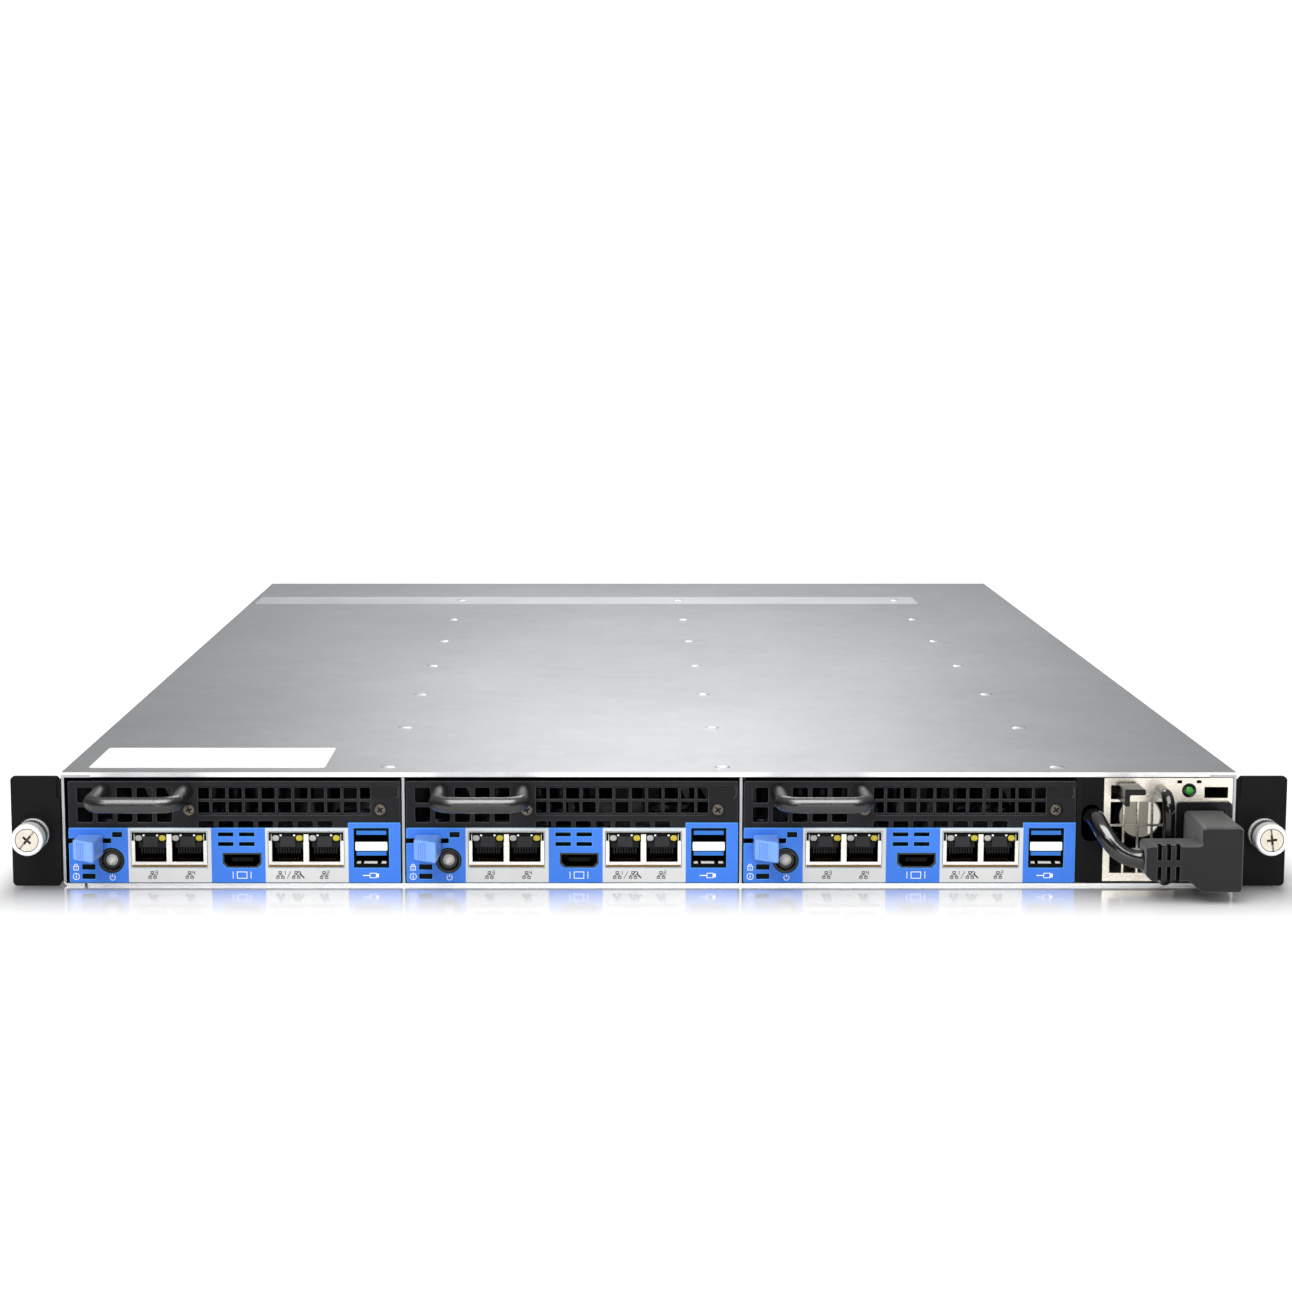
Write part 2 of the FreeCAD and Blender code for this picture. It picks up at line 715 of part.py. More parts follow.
def latch_lever():
    """Flat lever with its hook and its eye, swinging about an upright pivot."""
    half = LATCH_PLATE / 2
    z = (LATCH_Z - half, LATCH_Z + half)
    pivot_y = FRONT + LATCH_PIVOT_BACK
    neck_front = IO_FRONT - TAB_REAR_GAP - TAB_LENGTH / 2
    neck = block((LATCH_NECK_LEFT, LATCH_NECK_LEFT + LATCH_NECK), (neck_front, FRONT + HOOK_FRONT), z)
    arm = block((LATCH_ARM_LEFT, LATCH_ARM_LEFT + LATCH_ARM), (FRONT + HOOK_FRONT, pivot_y), z)
    eye = post(LATCH_PIVOT_IN, pivot_y, LATCH_EYE, z)
    front = FRONT + HOOK_FRONT
    hook_points = [
        (LATCH_ARM_LEFT + HOOK_FLAT, front),
        (-HOOK_REACH, front),
        (-HOOK_REACH, front + HOOK_FLAT),
        (LATCH_ARM_LEFT, front + HOOK_LENGTH),
        (LATCH_ARM_LEFT + HOOK_FLAT, front + HOOK_LENGTH),
    ]
    lever = union([arm, neck, eye, prism_z(hook_points, z)])
    return lever.cut(post(LATCH_PIVOT_IN, pivot_y, LATCH_PIVOT_RADIUS + THUMB_FIT, z))


def build_latch():
    """Latch lever with its moulded finger tab."""
    lever = latch_lever()
    rear = IO_FRONT - TAB_REAR_GAP
    front = rear - TAB_LENGTH
    right = TAB_LEFT + TAB_WIDTH
    ridge = right - TAB_RIDGE_IN
    plan = [(TAB_LEFT, rear), (right, rear), (ridge, front), (TAB_LEFT, front + TAB_SLOPE)]
    z = (LATCH_Z - TAB_BELOW, LATCH_Z + TAB_ABOVE)
    tab = prism_z(plan, z)
    rounded = [e for e in tab.Edges if e.BoundBox.YMin < rear - TAB_EDGE]
    tab = tab.makeFillet(TAB_EDGE, rounded)
    rib_z = (z[0] + TAB_EDGE, z[1] - TAB_EDGE)
    cuts = []
    for rib in range(TAB_RIBS):
        reach = TAB_RIB_FIRST + rib * TAB_RIB_PITCH
        x = TAB_LEFT + reach
        surface = front + TAB_SLOPE - TAB_SLOPE * reach / (ridge - TAB_LEFT)
        width = (x - TAB_RIB_CUT / 2, x + TAB_RIB_CUT / 2)
        cuts.append(block(width, (front - RUN, surface + TAB_RIB_CUT), rib_z))
    cuts.append(lever)
    return [lever, tab.cut(cuts)]


def build_button():
    """Dished push button with a domed lens in its middle."""
    z = FACE_BOTTOM + BUTTON_HEIGHT
    lip = IO_FRONT - BUTTON_PROUD
    dish = lip + BUTTON_DISH
    back = dish + BUTTON_RIM
    profile = [
        (0, lip + BUTTON_RIM / 2),
        (BUTTON_LENS / 2, lip + BUTTON_RIM),
        (BUTTON_LENS, dish),
        (BUTTON_RADIUS - 2 * BUTTON_RIM, dish),
        (BUTTON_RADIUS - BUTTON_RIM, lip),
        (BUTTON_RADIUS, lip),
        (BUTTON_RADIUS, back),
        (BUTTON_STEM, back),
        (BUTTON_STEM, back + BUTTON_STEM_LENGTH),
        (0, back + BUTTON_STEM_LENGTH),
    ]
    return [ring_profile(profile, BUTTON_IN, z)]


def build_network_jacks():
    """Two shielded twin jacks, each with two keyed ports."""
    solids = []
    back = IO_FRONT + JACK_DEPTH
    for left in jack_lefts():
        top = FACE_BOTTOM + JACK_TOP
        shell = block((left, left + JACK_WIDTH), (IO_FRONT, back), (BOARD_TOP, top))
        first = left + (JACK_WIDTH - 2 * PORT_WIDTH - PORT_GAP) / 2
        cuts = []
        for port in range(2):
            x = first + port * (PORT_WIDTH + PORT_GAP)
            low = BOARD_TOP + PORT_FLOOR
            high = low + PORT_HEIGHT
            y = (IO_FRONT - RUN, IO_FRONT + PORT_DEPTH)
            cuts.append(block((x, x + PORT_WIDTH), y, (low, high)))
            key = x + (PORT_WIDTH - PORT_KEY_WIDTH) / 2
            cuts.append(block((key, key + PORT_KEY_WIDTH), y, (low, high + PORT_KEY_HEIGHT)))
        solids.append(shell.cut(cuts))
    return solids


def build_video_usb_jacks():
    """Video port shell with its tongue, and the stacked data port."""
    y = (IO_FRONT, IO_FRONT + VIDEO_DEPTH)
    mouth = (IO_FRONT - RUN, IO_FRONT + VIDEO_DEPTH - VIDEO_CHAMFER)
    outline = video_outline(0)
    video = prism_y(outline, y).cut(prism_y(video_outline(-VIDEO_WALL), mouth))
    centre = VIDEO_BLOCK_1 + VIDEO_BLOCK / 2 + VIDEO_OFFSET
    reach = VIDEO_WIDTH / 2 - 2 * VIDEO_CHAMFER
    mid = BOARD_TOP + VIDEO_HEIGHT / 2
    tongue_y = (IO_FRONT + VIDEO_CHAMFER, IO_FRONT + VIDEO_DEPTH - VIDEO_WALL)
    tongue_z = (mid - VIDEO_TONGUE / 2, mid + VIDEO_TONGUE / 2)
    tongue = block((centre - reach, centre + reach), tongue_y, tongue_z)
    left = usb_left()
    top = FACE_BOTTOM + USB_TOP
    shell = block((left, left + USB_WIDTH), (IO_FRONT, IO_FRONT + USB_DEPTH), (BOARD_TOP, top))
    cuts = []
    tongues = []
    for port in range(2):
        high = top - USB_WALL - port * USB_PITCH
        low = high - USB_PORT_HEIGHT
        x = (left + USB_WALL, left + USB_WIDTH - USB_WALL)
        cuts.append(block(x, (IO_FRONT - RUN, IO_FRONT + USB_DEPTH - VIDEO_CHAMFER), (low, high)))
        tongue_x = (x[0] + USB_TONGUE_DROP, x[1] - USB_TONGUE_DROP)
        tongue_z = (high - USB_TONGUE_DROP - USB_TONGUE, high - USB_TONGUE_DROP)
        tongues.append(block(tongue_x, (IO_FRONT + USB_WALL, IO_FRONT + USB_DEPTH - USB_WALL), tongue_z))
    return [union([video, tongue]), union([shell.cut(cuts)] + tongues)]


def board_back():
    """Rear edge of the mainboard."""
    return TRAY_END - TRAY_REAR_WALL - SHEET


def standoff_places():
    """Middles of the pressed standoffs under the board."""
    first = FRONT + BOARD_NOTCH + STANDOFF_RADIUS * 2
    rows = [first, (FRONT + board_back()) / 2, board_back() - LINK_DEPTH]
    cols = [BOARD_INSET + STANDOFF_RADIUS * 2, FACE_WIDTH - BOARD_INSET - STANDOFF_RADIUS * 2]
    return [(x, y) for x in cols for y in rows]


def build_tray():
    """Open sheet tray with standoffs and the latch pivot."""
    y = (FACE_BACK, TRAY_END)
    wall_top = FACE_BOTTOM + TRAY_WALL
    floor = block((0, FACE_WIDTH), y, (FACE_BOTTOM, TRAY_FLOOR_TOP))
    left = block((0, SHEET), y, (FACE_BOTTOM, wall_top))
    right = block((FACE_WIDTH - SHEET, FACE_WIDTH), y, (FACE_BOTTOM, wall_top))
    rear_z = (FACE_BOTTOM, TRAY_FLOOR_TOP + TRAY_REAR_WALL)
    rear = block((0, FACE_WIDTH), (TRAY_END - SHEET, TRAY_END), rear_z)
    parts = [floor, left, right, rear]
    for x, place in standoff_places():
        parts.append(post(x, place, STANDOFF_RADIUS, (FACE_BOTTOM, BOARD_TOP - BOARD)))
    pivot_y = FRONT + LATCH_PIVOT_BACK
    lever_low = LATCH_Z - LATCH_PLATE / 2 - THUMB_FIT
    lever_high = LATCH_Z + LATCH_PLATE / 2 + THUMB_FIT
    parts.append(post(LATCH_PIVOT_IN, pivot_y, LATCH_EYE, (FACE_BOTTOM, lever_low)))
    parts.append(post(LATCH_PIVOT_IN, pivot_y, LATCH_PIVOT_RADIUS, (FACE_BOTTOM, lever_high + SHEET)))
    parts.append(post(LATCH_PIVOT_IN, pivot_y, LATCH_EYE - SHEET, (lever_high, lever_high + SHEET)))
    hook_y = (FRONT + HOOK_FRONT - HOOK_PLAY, FRONT + HOOK_FRONT + HOOK_LENGTH + HOOK_PLAY)
    hook_z = (LATCH_Z - HOOK_PLAY, LATCH_Z + HOOK_PLAY)
    window = block((-LOOSE, SHEET + LOOSE), hook_y, hook_z)
    return [union(parts).cut(window)]


def build_mainboard():
    """Circuit board with a corner left free for the latch."""
    x = (BOARD_INSET, FACE_WIDTH - BOARD_INSET)
    y = (FACE_BACK + SHEET + RUN, board_back())
    board = block(x, y, (BOARD_TOP - BOARD, BOARD_TOP))
    notch_z = (BOARD_TOP - 2 * BOARD, BOARD_TOP + BOARD)
    notch = block((0, LATCH_BLOCK), (FRONT, FRONT + BOARD_NOTCH), notch_z)
    return [board.cut(notch)]


def build_board_parts():
    """Cooler, memory sockets, chokes, chip sink and rear link on the board."""
    middle = FACE_WIDTH / 2
    sink_y = FRONT + SINK_SET_BACK
    half = SINK_SIDE / 2
    base_z = BOARD_TOP + SOCKET_HEIGHT
    socket_half = half * SOCKET_SHARE
    sink_mid = sink_y + half
    socket_x = (middle - socket_half, middle + socket_half)
    socket_y = (sink_mid - socket_half, sink_mid + socket_half)
    socket = block(socket_x, socket_y, (BOARD_TOP, base_z))
    fin_y = (sink_y, sink_y + SINK_SIDE)
    fin_z = (base_z, base_z + SINK_BASE + SINK_FIN_HEIGHT)
    fins = [block((middle - half, middle + half), fin_y, (base_z, base_z + SINK_BASE))]
    pitch = (SINK_SIDE - SINK_FIN) / (SINK_FIN_COUNT - 1)
    for fin in range(SINK_FIN_COUNT):
        x = middle - half + fin * pitch
        fins.append(block((x, x + SINK_FIN), fin_y, fin_z))
    solids = [socket, union(fins)]
    dimm_y = (sink_mid - DIMM_LENGTH / 2, sink_mid + DIMM_LENGTH / 2)
    for side in (-1, 1):
        for slot in range(2):
            x = middle + side * (half + DIMM_WIDTH + slot * DIMM_PITCH)
            solids.append(memory_socket(x, dimm_y))
    choke_y = sink_y - CHOKE_AHEAD
    choke_pitch = SINK_SIDE / CHOKE_COUNT
    for choke in range(CHOKE_COUNT):
        x = middle - half + choke_pitch / 2 + choke * choke_pitch
        width = (x - CHOKE_SIDE / 2, x + CHOKE_SIDE / 2)
        choke_z = (BOARD_TOP, BOARD_TOP + CHOKE_SIDE)
        solids.append(block(width, (choke_y, choke_y + CHOKE_SIDE), choke_z))
    solids.append(chip_sink(middle, sink_y + SINK_SIDE + CHIP_BEHIND))
    link_y = (board_back() - LINK_DEPTH, board_back())
    link_x = (middle - LINK_WIDTH / 2, middle + LINK_WIDTH / 2)
    link = block(link_x, link_y, (BOARD_TOP, BOARD_TOP + LINK_HEIGHT))
    solids.append(union([link, link_tongue(middle, board_back() - LINK_TONGUE, 0)]))
    return solids


def memory_socket(x, y):
    """Memory socket with its long groove and an upright latch at each end."""
    half = DIMM_WIDTH / 2
    body = block((x - half, x + half), y, (BOARD_TOP, BOARD_TOP + DIMM_HEIGHT))
    latch_z = (BOARD_TOP, BOARD_TOP + DIMM_LATCH_HEIGHT)
    near = block((x - half, x + half), (y[0], y[0] + DIMM_LATCH), latch_z)
    far = block((x - half, x + half), (y[1] - DIMM_LATCH, y[1]), latch_z)
    groove_x = (x - DIMM_GROOVE / 2, x + DIMM_GROOVE / 2)
    groove_y = (y[0] + DIMM_LATCH / 2, y[1] - DIMM_LATCH / 2)
    groove_z = (BOARD_TOP + DIMM_HEIGHT - DIMM_GROOVE_DEPTH, BOARD_TOP + DIMM_LATCH_HEIGHT + RUN)
    return union([body, near, far]).cut(block(groove_x, groove_y, groove_z))


def chip_sink(middle, y):
    """Small finned heat sink of the board's control chip."""
    half = CHIP_SINK_SIDE / 2
    depth = (y, y + CHIP_SINK_SIDE)
    parts = [block((middle - half, middle + half), depth, (BOARD_TOP, BOARD_TOP + CHIP_SINK_BASE))]
    pitch = (CHIP_SINK_SIDE - CHIP_FIN) / (CHIP_FIN_COUNT - 1)
    for fin in range(CHIP_FIN_COUNT):
        x = middle - half + fin * pitch
        parts.append(block((x, x + CHIP_FIN), depth, (BOARD_TOP, BOARD_TOP + CHIP_SINK_HEIGHT)))
    return union(parts)


def link_tongue(middle, start, grow):
    """Flat tongue of a sled's rear link, or the room for it in the midplane's socket."""
    half = LINK_WIDTH / 2 - LINK_TONGUE_INSET + grow
    z = BOARD_TOP + LINK_HEIGHT / 2
    thick = LINK_TONGUE / 2 + grow
    return block((middle - half, middle + half), (start, MID_FRONT - LOOSE + grow), (z - thick, z + thick))


# Chassis pieces

def build_chassis_base():
    """Folded floor and side walls with inward top returns."""
    y = (FRONT, CHASSIS_END)
    outer = block((-HALF, HALF), y, (0, RETURN_TOP))
    low = [e for e in outer.Edges if e.BoundBox.ZMax < SHEET and e.BoundBox.XLength < SHEET]
    outer = outer.makeFillet(FOLD_RADIUS, low)
    inner = block((INNER_LEFT, INNER_RIGHT), (y[0] - RUN, y[1] + RUN), (FLOOR_TOP, RETURN_BOTTOM))
    mouth_x = (INNER_LEFT + WALL_RETURN, INNER_RIGHT - WALL_RETURN)
    mouth = block(mouth_x, (y[0] - RUN, y[1] + RUN), (RETURN_BOTTOM - RUN, RETURN_TOP + RUN))
    rear_y = (REAR_FACE - RUN, y[1] + RUN)
    rear_room = block((INNER_LEFT, INNER_RIGHT), rear_y, (FLOOR_TOP, RETURN_TOP + RUN))
    liner_x = (-HALF + SHEET, INNER_LEFT + RUN)
    liner = block(liner_x, (FRONT - RUN, FRONT + LINER_SET_BACK), (FLOOR_TOP, RETURN_BOTTOM))
    cuts = [inner, mouth, rear_room, liner]
    for side in (-1, 1):
        x = side * (HALF - RELIEF_INSET)
        relief_x = (x - RELIEF_WIDTH / 2, x + RELIEF_WIDTH / 2)
        cuts.append(block(relief_x, (FRONT - RUN, FRONT + RELIEF_DEPTH), (-RUN, FLOOR_TOP + RUN)))
    cuts.append(catch_cut((-HALF - RUN, INNER_LEFT + RUN)))
    return [outer.cut(cuts)]


def catch_cut(x):
    """Window that a latch hook snaps into."""
    y = (FRONT + HOOK_FRONT - HOOK_PLAY, FRONT + HOOK_FRONT + HOOK_LENGTH + HOOK_PLAY)
    return block(x, y, (LATCH_Z - HOOK_PLAY, LATCH_Z + HOOK_PLAY))


def divider_left(bay):
    """Left face of the divider to the right of a bay."""
    return INNER_LEFT + (bay + 1) * BAY_PITCH - SHEET


def build_bay_dividers():
    """One upright sheet to the right of every bay, flanged under the cover."""
    solids = []
    y = (FRONT + FIT, TRAY_END)
    for bay in range(BAY_COUNT):
        x = divider_left(bay)
        wall = block((x, x + SHEET), y, (FLOOR_TOP, RETURN_BOTTOM))
        flange_y = (FRONT + SHEET + RUN, TRAY_END)
        flange = block((x - DIVIDER_RETURN, x + SHEET), flange_y, (RETURN_BOTTOM, RETURN_TOP))
        sheet = wall.fuse(flange)
        if bay < BAY_COUNT - 1:
            sheet = sheet.cut(catch_cut((x - RUN, x + SHEET + RUN)))
        solids.append(sheet.removeSplitter())
    return solids


def build_top_cover():
    """Flat cover with a short hem at the front."""
    plate = block((-HALF, HALF), (FRONT, CHASSIS_END), (RETURN_TOP, CHASSIS_HEIGHT))
    hem_x = (INNER_LEFT + WALL_RETURN, INNER_RIGHT - WALL_RETURN)
    hem = block(hem_x, (FRONT, FRONT + SHEET), (RETURN_TOP - COVER_HEM, CHASSIS_HEIGHT))
    return [plate.fuse(hem).removeSplitter()]


def build_cover_rivets():
    """Low heads in three columns over the divider flanges."""
    solids = []
    crown = CHASSIS_HEIGHT + RIVET_RISE
    profile = [
        (0, CHASSIS_HEIGHT),
        (RIVET_RADIUS, CHASSIS_HEIGHT),
        (RIVET_SHOULDER, CHASSIS_HEIGHT + RIVET_SHOULDER_RISE),
        (RIVET_CROWN, crown),
        (0, crown),
    ]
    for bay in range(BAY_COUNT):
        x = divider_left(bay) - DIVIDER_RETURN / 2 + SHEET
        for row in range(RIVET_ROWS):
            solids.append(turned_z(profile, x, FRONT + RIVET_FIRST + row * RIVET_PITCH))
    return solids


def ear_x(side, distance):
    """Place at a distance outside the chassis wall."""
    return side * (HALF + distance)


def span(a, b):
    """Two places in rising order."""
    return (min(a, b), max(a, b))


def build_rack_ears():
    """Two angle brackets with a ferrule for the thumbscrew."""
    solids = []
    z = (FIT, RETURN_TOP - LOOSE)
    for side in (-1, 1):
        plate = rounded_y(span(ear_x(side, EAR_INSET), ear_x(side, EAR_WIDTH)), z, EAR_CORNER, (FRONT, 0))
        notch_x = span(ear_x(side, 0), ear_x(side, EAR_INSET + EAR_NOTCH))
        notch_z = (z[1] - EAR_NOTCH_HEIGHT, z[1] + RUN)
        plate = plate.cut(block(notch_x, (FRONT - RUN, FRONT + EAR_THICK / 2), notch_z))
        flange_x = span(ear_x(side, 0), ear_x(side, EAR_FLANGE_THICK))
        flange_z = (z[0] + EAR_CORNER, z[1] - EAR_CORNER)
        flange = block(flange_x, (FRONT + EAR_THICK / 2, EAR_FLANGE), flange_z)
        x = ear_x(side, THUMB_OFFSET)
        ferrule = rod(x, THUMB_HEIGHT, FERRULE_RADIUS, (FRONT - FERRULE_RISE, 0))
        hole = rod(x, THUMB_HEIGHT, THUMB_SHANK + THUMB_FIT, (FRONT - THUMB_LENGTH, EAR_THICK))
        solids.append(union([plate, flange, ferrule]).cut(hole))
    return solids


def thumb_recess(x, z, front):
    """Driver slot with a cross recess in its middle, before it is turned."""
    half_slot = THUMB_SLOT / 2
    half_cross = THUMB_CROSS_WIDTH / 2
    shallow = (front - RUN, front + THUMB_SLOT_DEPTH)
    deep = (front - RUN, front + THUMB_CROSS_DEPTH)
    return [
        block((x - THUMB_FACE, x + THUMB_FACE), shallow, (z - half_slot, z + half_slot)),
        block((x - THUMB_CROSS, x + THUMB_CROSS), deep, (z - half_cross, z + half_cross)),
        block((x - half_cross, x + half_cross), deep, (z - THUMB_CROSS, z + THUMB_CROSS)),
    ]


def build_thumbscrew(side):
    """Captive thumbscrew: collar, knurled band, smooth head with a ring groove, shank."""
    x = ear_x(side, THUMB_OFFSET)
    z = THUMB_HEIGHT
    back = FRONT - FERRULE_RISE - RUN
    front = back - THUMB_LENGTH
    band_back = back - THUMB_COLLAR
    band_front = band_back - THUMB_BAND
    waist = THUMB_RADIUS - THUMB_GROOVE
    points = []
    for step in range(2 * THUMB_TEETH):
        radius = THUMB_RADIUS - (THUMB_TOOTH if step % 2 else 0)
        turn = math.pi * step / THUMB_TEETH
        points.append((x + radius * math.cos(turn), z + radius * math.sin(turn)))
    knurl = prism_y(points, (band_front, band_back))
    collar = ring_profile([
        (0, band_back),
        (waist, band_back),
        (waist, band_back + THUMB_GROOVE),
        (THUMB_RADIUS, band_back + THUMB_GROOVE),
        (THUMB_RADIUS, back - THUMB_BEVEL),
        (THUMB_RADIUS - THUMB_BEVEL, back),
        (0, back),
    ], x, z)
    head = ring_profile([
        (0, band_front),
        (waist, band_front),
        (waist, band_front - THUMB_GROOVE),
        (THUMB_RADIUS, band_front - THUMB_GROOVE),
        (THUMB_RADIUS, front + THUMB_BEVEL),
        (THUMB_RADIUS - THUMB_BEVEL, front),
        (THUMB_FACE + THUMB_RING, front),
        (THUMB_FACE + THUMB_RING, front + THUMB_RING_DEPTH),
        (THUMB_FACE, front + THUMB_RING_DEPTH),
        (THUMB_FACE, front),
        (0, front),
    ], x, z)
    shoulder = rod(x, z, THUMB_SHANK, (back - RUN, RUN))
    thread = rod(x, z, THUMB_THREAD, (0, THUMB_TIP))
    recess = thumb_recess(x, z, front)
    turn = THUMB_TURNS[0] if side < 0 else THUMB_TURNS[1]
    for cut in recess:
        cut.rotate(V(x, 0, z), V(0, 1, 0), -turn)
    return [union([knurl, collar, head, shoulder, thread]).cut(recess)]


def build_filler_strip():
    """Narrow front strip with the slot that the mains lead comes out of."""
    y = (FRONT, FRONT + SHEET)
    x = (FILLER_LEFT, FILLER_RIGHT)
    plate = block(x, y, (FLOOR_TOP, RETURN_BOTTOM))
    deep = (FRONT, FRONT + FILLER_FLANGE)
    low = block(x, deep, (FLOOR_TOP, FLOOR_TOP + SHEET))
    high = block(x, deep, (RETURN_BOTTOM - SHEET, RETURN_BOTTOM))
    half = SLOT_WIDTH / 2
    through = (FRONT - RUN, FRONT + SHEET + RUN)
    slot = obround_y((CORD_X - half, CORD_X + half), (SLOT_BOTTOM, SLOT_TOP), through)
    return [union([plate, low, high]).cut(slot)]


def fan_centres():
    """Middles of the two fans behind every bay."""
    places = []
    for bay in range(BAY_COUNT):
        middle = INNER_LEFT + bay * BAY_PITCH + (BAY_PITCH - SHEET) / 2
        places.append(middle - FAN_SPREAD / 2)
        places.append(middle + FAN_SPREAD / 2)
    return places


def fan_frame(x, z, size, front, depth):
    """Square fan frame with a bore, a motor seat and its struts."""
    half = size / 2
    bore = half - FAN_WALL
    back = front + depth
    seat = back - FAN_MOTOR_DEPTH
    frame = block((x - half, x + half), (front, back), (z - half, z + half))
    frame = frame.cut(rod(x, z, bore, (front - RUN, back + RUN)))
    motor = rod(x, z, bore * FAN_HUB_SHARE, (seat, back))
    reach = bore + FAN_WALL / 2
    strut = FAN_STRUT / 2
    bars = [
        block((x - reach, x + reach), (seat + strut, back), (z - strut, z + strut)),
        block((x - strut, x + strut), (seat + strut, back), (z - reach, z + reach)),
    ]
    return union([frame, motor] + bars)


def fan_rotor(x, z, size, front, depth):
    """Fan rotor: hub with a turned edge and twisted blades."""
    bore = size / 2 - FAN_WALL
    hub = bore * FAN_HUB_SHARE
    tip = bore - FAN_TIP_GAP
    y0 = front + FAN_WALL
    y1 = front + depth - FAN_MOTOR_DEPTH - FAN_TIP_GAP
    edge = hub * FAN_EDGE_SHARE
    body = ring_profile([(0, y0), (hub - edge, y0), (hub, y0 + edge), (hub, y1), (0, y1)], x, z)
    middle = (y0 + y1) / 2
    length = y1 - y0 - 2 * edge
    blades = []
    for blade in range(FAN_BLADES):
        wires = []
        for end in range(2):
            pitch = math.radians(FAN_PITCHES[end])
            chord = length * FAN_CHORDS[end]
            across = chord * math.cos(pitch)
            reach = hub * FAN_ROOT_SINK
            if end == 1:
                reach = math.sqrt(tip ** 2 - (across / 2 + FAN_BLADE) ** 2)
            axial = chord * math.sin(pitch) / 2
            lean = FAN_BLADE / 2
            corners = [
                V(reach, -axial - lean, -across / 2 + lean),
                V(reach, axial - lean, across / 2 + lean),
                V(reach, axial + lean, across / 2 - lean),
                V(reach, -axial + lean, -across / 2 - lean),
            ]
            wires.append(Part.makePolygon(corners + corners[:1]))
        solid = Part.makeLoft(wires, True, True)
        solid.rotate(V(0, 0, 0), V(0, 1, 0), 360.0 * blade / FAN_BLADES)
        solid.translate(V(x, middle, z))
        blades.append(solid)
    return body.fuse(blades).removeSplitter()


def build_midplane():
    """Upright link board behind the sleds and the one behind the power supply."""
    back = MID_FRONT + MID_BOARD
    top = RETURN_BOTTOM - 2 * TOP_GAP
    right = divider_left(BAY_COUNT - 1) - LOOSE
    board = block((INNER_LEFT + LOOSE, right), (MID_FRONT, back), (FLOOR_TOP, top))
    cuts = []
    sockets = []
    for bay in range(BAY_COUNT):
        middle = INNER_LEFT + bay * BAY_PITCH + (BAY_PITCH - SHEET) / 2
        for side in (-1, 1):
            x = middle + side * (LINK_WIDTH / 2 + MID_WINDOW / 2 + LOOSE)
            width = (x - MID_WINDOW / 2, x + MID_WINDOW / 2)
            cuts.append(block(width, (MID_FRONT - RUN, back + RUN), (BOARD_TOP, top - TOP_GAP * 2)))
        high = BOARD_TOP + LINK_HEIGHT
        link_x = (middle - LINK_WIDTH / 2, middle + LINK_WIDTH / 2)
        cuts.append(block(link_x, (MID_FRONT - RUN, back + RUN), (high + LOOSE * 2, top - TOP_GAP * 2)))
        socket_y = (MID_FRONT - MID_SOCKET, MID_FRONT)
        socket = block(link_x, socket_y, (BOARD_TOP, high))
        sockets.append(socket.cut(link_tongue(middle, socket_y[0] - RUN, FIT)))
    psu_front = FRONT + PSU_DEPTH + MID_GAP
    link_x = (PSU_LEFT + LOOSE, PSU_RIGHT - LOOSE)
    link = block(link_x, (psu_front, psu_front + MID_BOARD), (FLOOR_TOP, top))
    plug_x = (PSU_LEFT + PSU_WIDTH / 4, PSU_RIGHT - PSU_WIDTH / 4)
    plug_y = (FRONT + PSU_DEPTH - PSU_LINK_REACH, psu_front)
    plug = block(plug_x, plug_y, (BOARD_TOP, BOARD_TOP + LINK_HEIGHT))
    return [union([board.cut(cuts)] + sockets), union([link, plug])]


def inlet_outline(grow):
    """Mating outline of the mains inlet in X and Z about its middle."""
    x = INLET_WIDTH / 2 + grow
    z = INLET_HEIGHT / 2 + grow
    cut = INLET_CHAMFER
    return [(-x + cut, -z), (x, -z), (x, z), (-x + cut, z), (-x, z - cut), (-x, -z + cut)]


def pin_places():
    """Middles of the three pins in X and Z."""
    return [(PIN_OFFSET, PIN_SPREAD), (PIN_OFFSET, -PIN_SPREAD), (-PIN_OFFSET, 0)]


def pin_boxes(grow, y):
    """Three flat pins, or the holes for them."""
    boxes = []
    for x, z in pin_places():
        half_x = PIN_THICK / 2 + grow
        half_z = PIN_WIDTH / 2 + grow
        boxes.append(block((x - half_x, x + half_x), y, (z - half_z, z + half_z)))
    return boxes


def inlet():
    """Panel inlet about its middle, mouth towards -Y, panel face at y = 0."""
    flange_x = INLET_WIDTH / 2 + INLET_FLANGE_X
    flange_z = INLET_HEIGHT / 2 + INLET_FLANGE_Z
    mouth = -INLET_FLANGE
    floor = mouth + INLET_DEPTH
    flange = rounded_y((-flange_x, flange_x), (-flange_z, flange_z), INLET_FLANGE, (mouth, 0))
    body_x = INLET_WIDTH / 2 + INLET_WALL
    body_z = INLET_HEIGHT / 2 + INLET_WALL
    body = block((-body_x, body_x), (mouth, floor + INLET_BACK), (-body_z, body_z))
    shell = union([flange, body]).cut(prism_y(inlet_outline(0), (mouth - RUN, floor)))
    return union([shell] + pin_boxes(0, (floor - PIN_LENGTH, floor + INLET_BACK / 2)))


def inlet_hole(y):
    """Panel opening for the inlet's body."""
    body_x = INLET_WIDTH / 2 + INLET_WALL + FIT
    body_z = INLET_HEIGHT / 2 + INLET_WALL + FIT
    return block((-body_x, body_x), y, (-body_z, body_z))


def to_rear(shape):
    """Turn an inlet shape to the rear panel, lying on its side."""
    turned = shape.copy()
    turned.rotate(V(0, 0, 0), V(0, 0, 1), 180)
    turned.rotate(V(0, 0, 0), V(0, 1, 0), 90)
    turned.translate(V(REAR_INLET_X, CHASSIS_END, REAR_INLET_Z))
    return turned


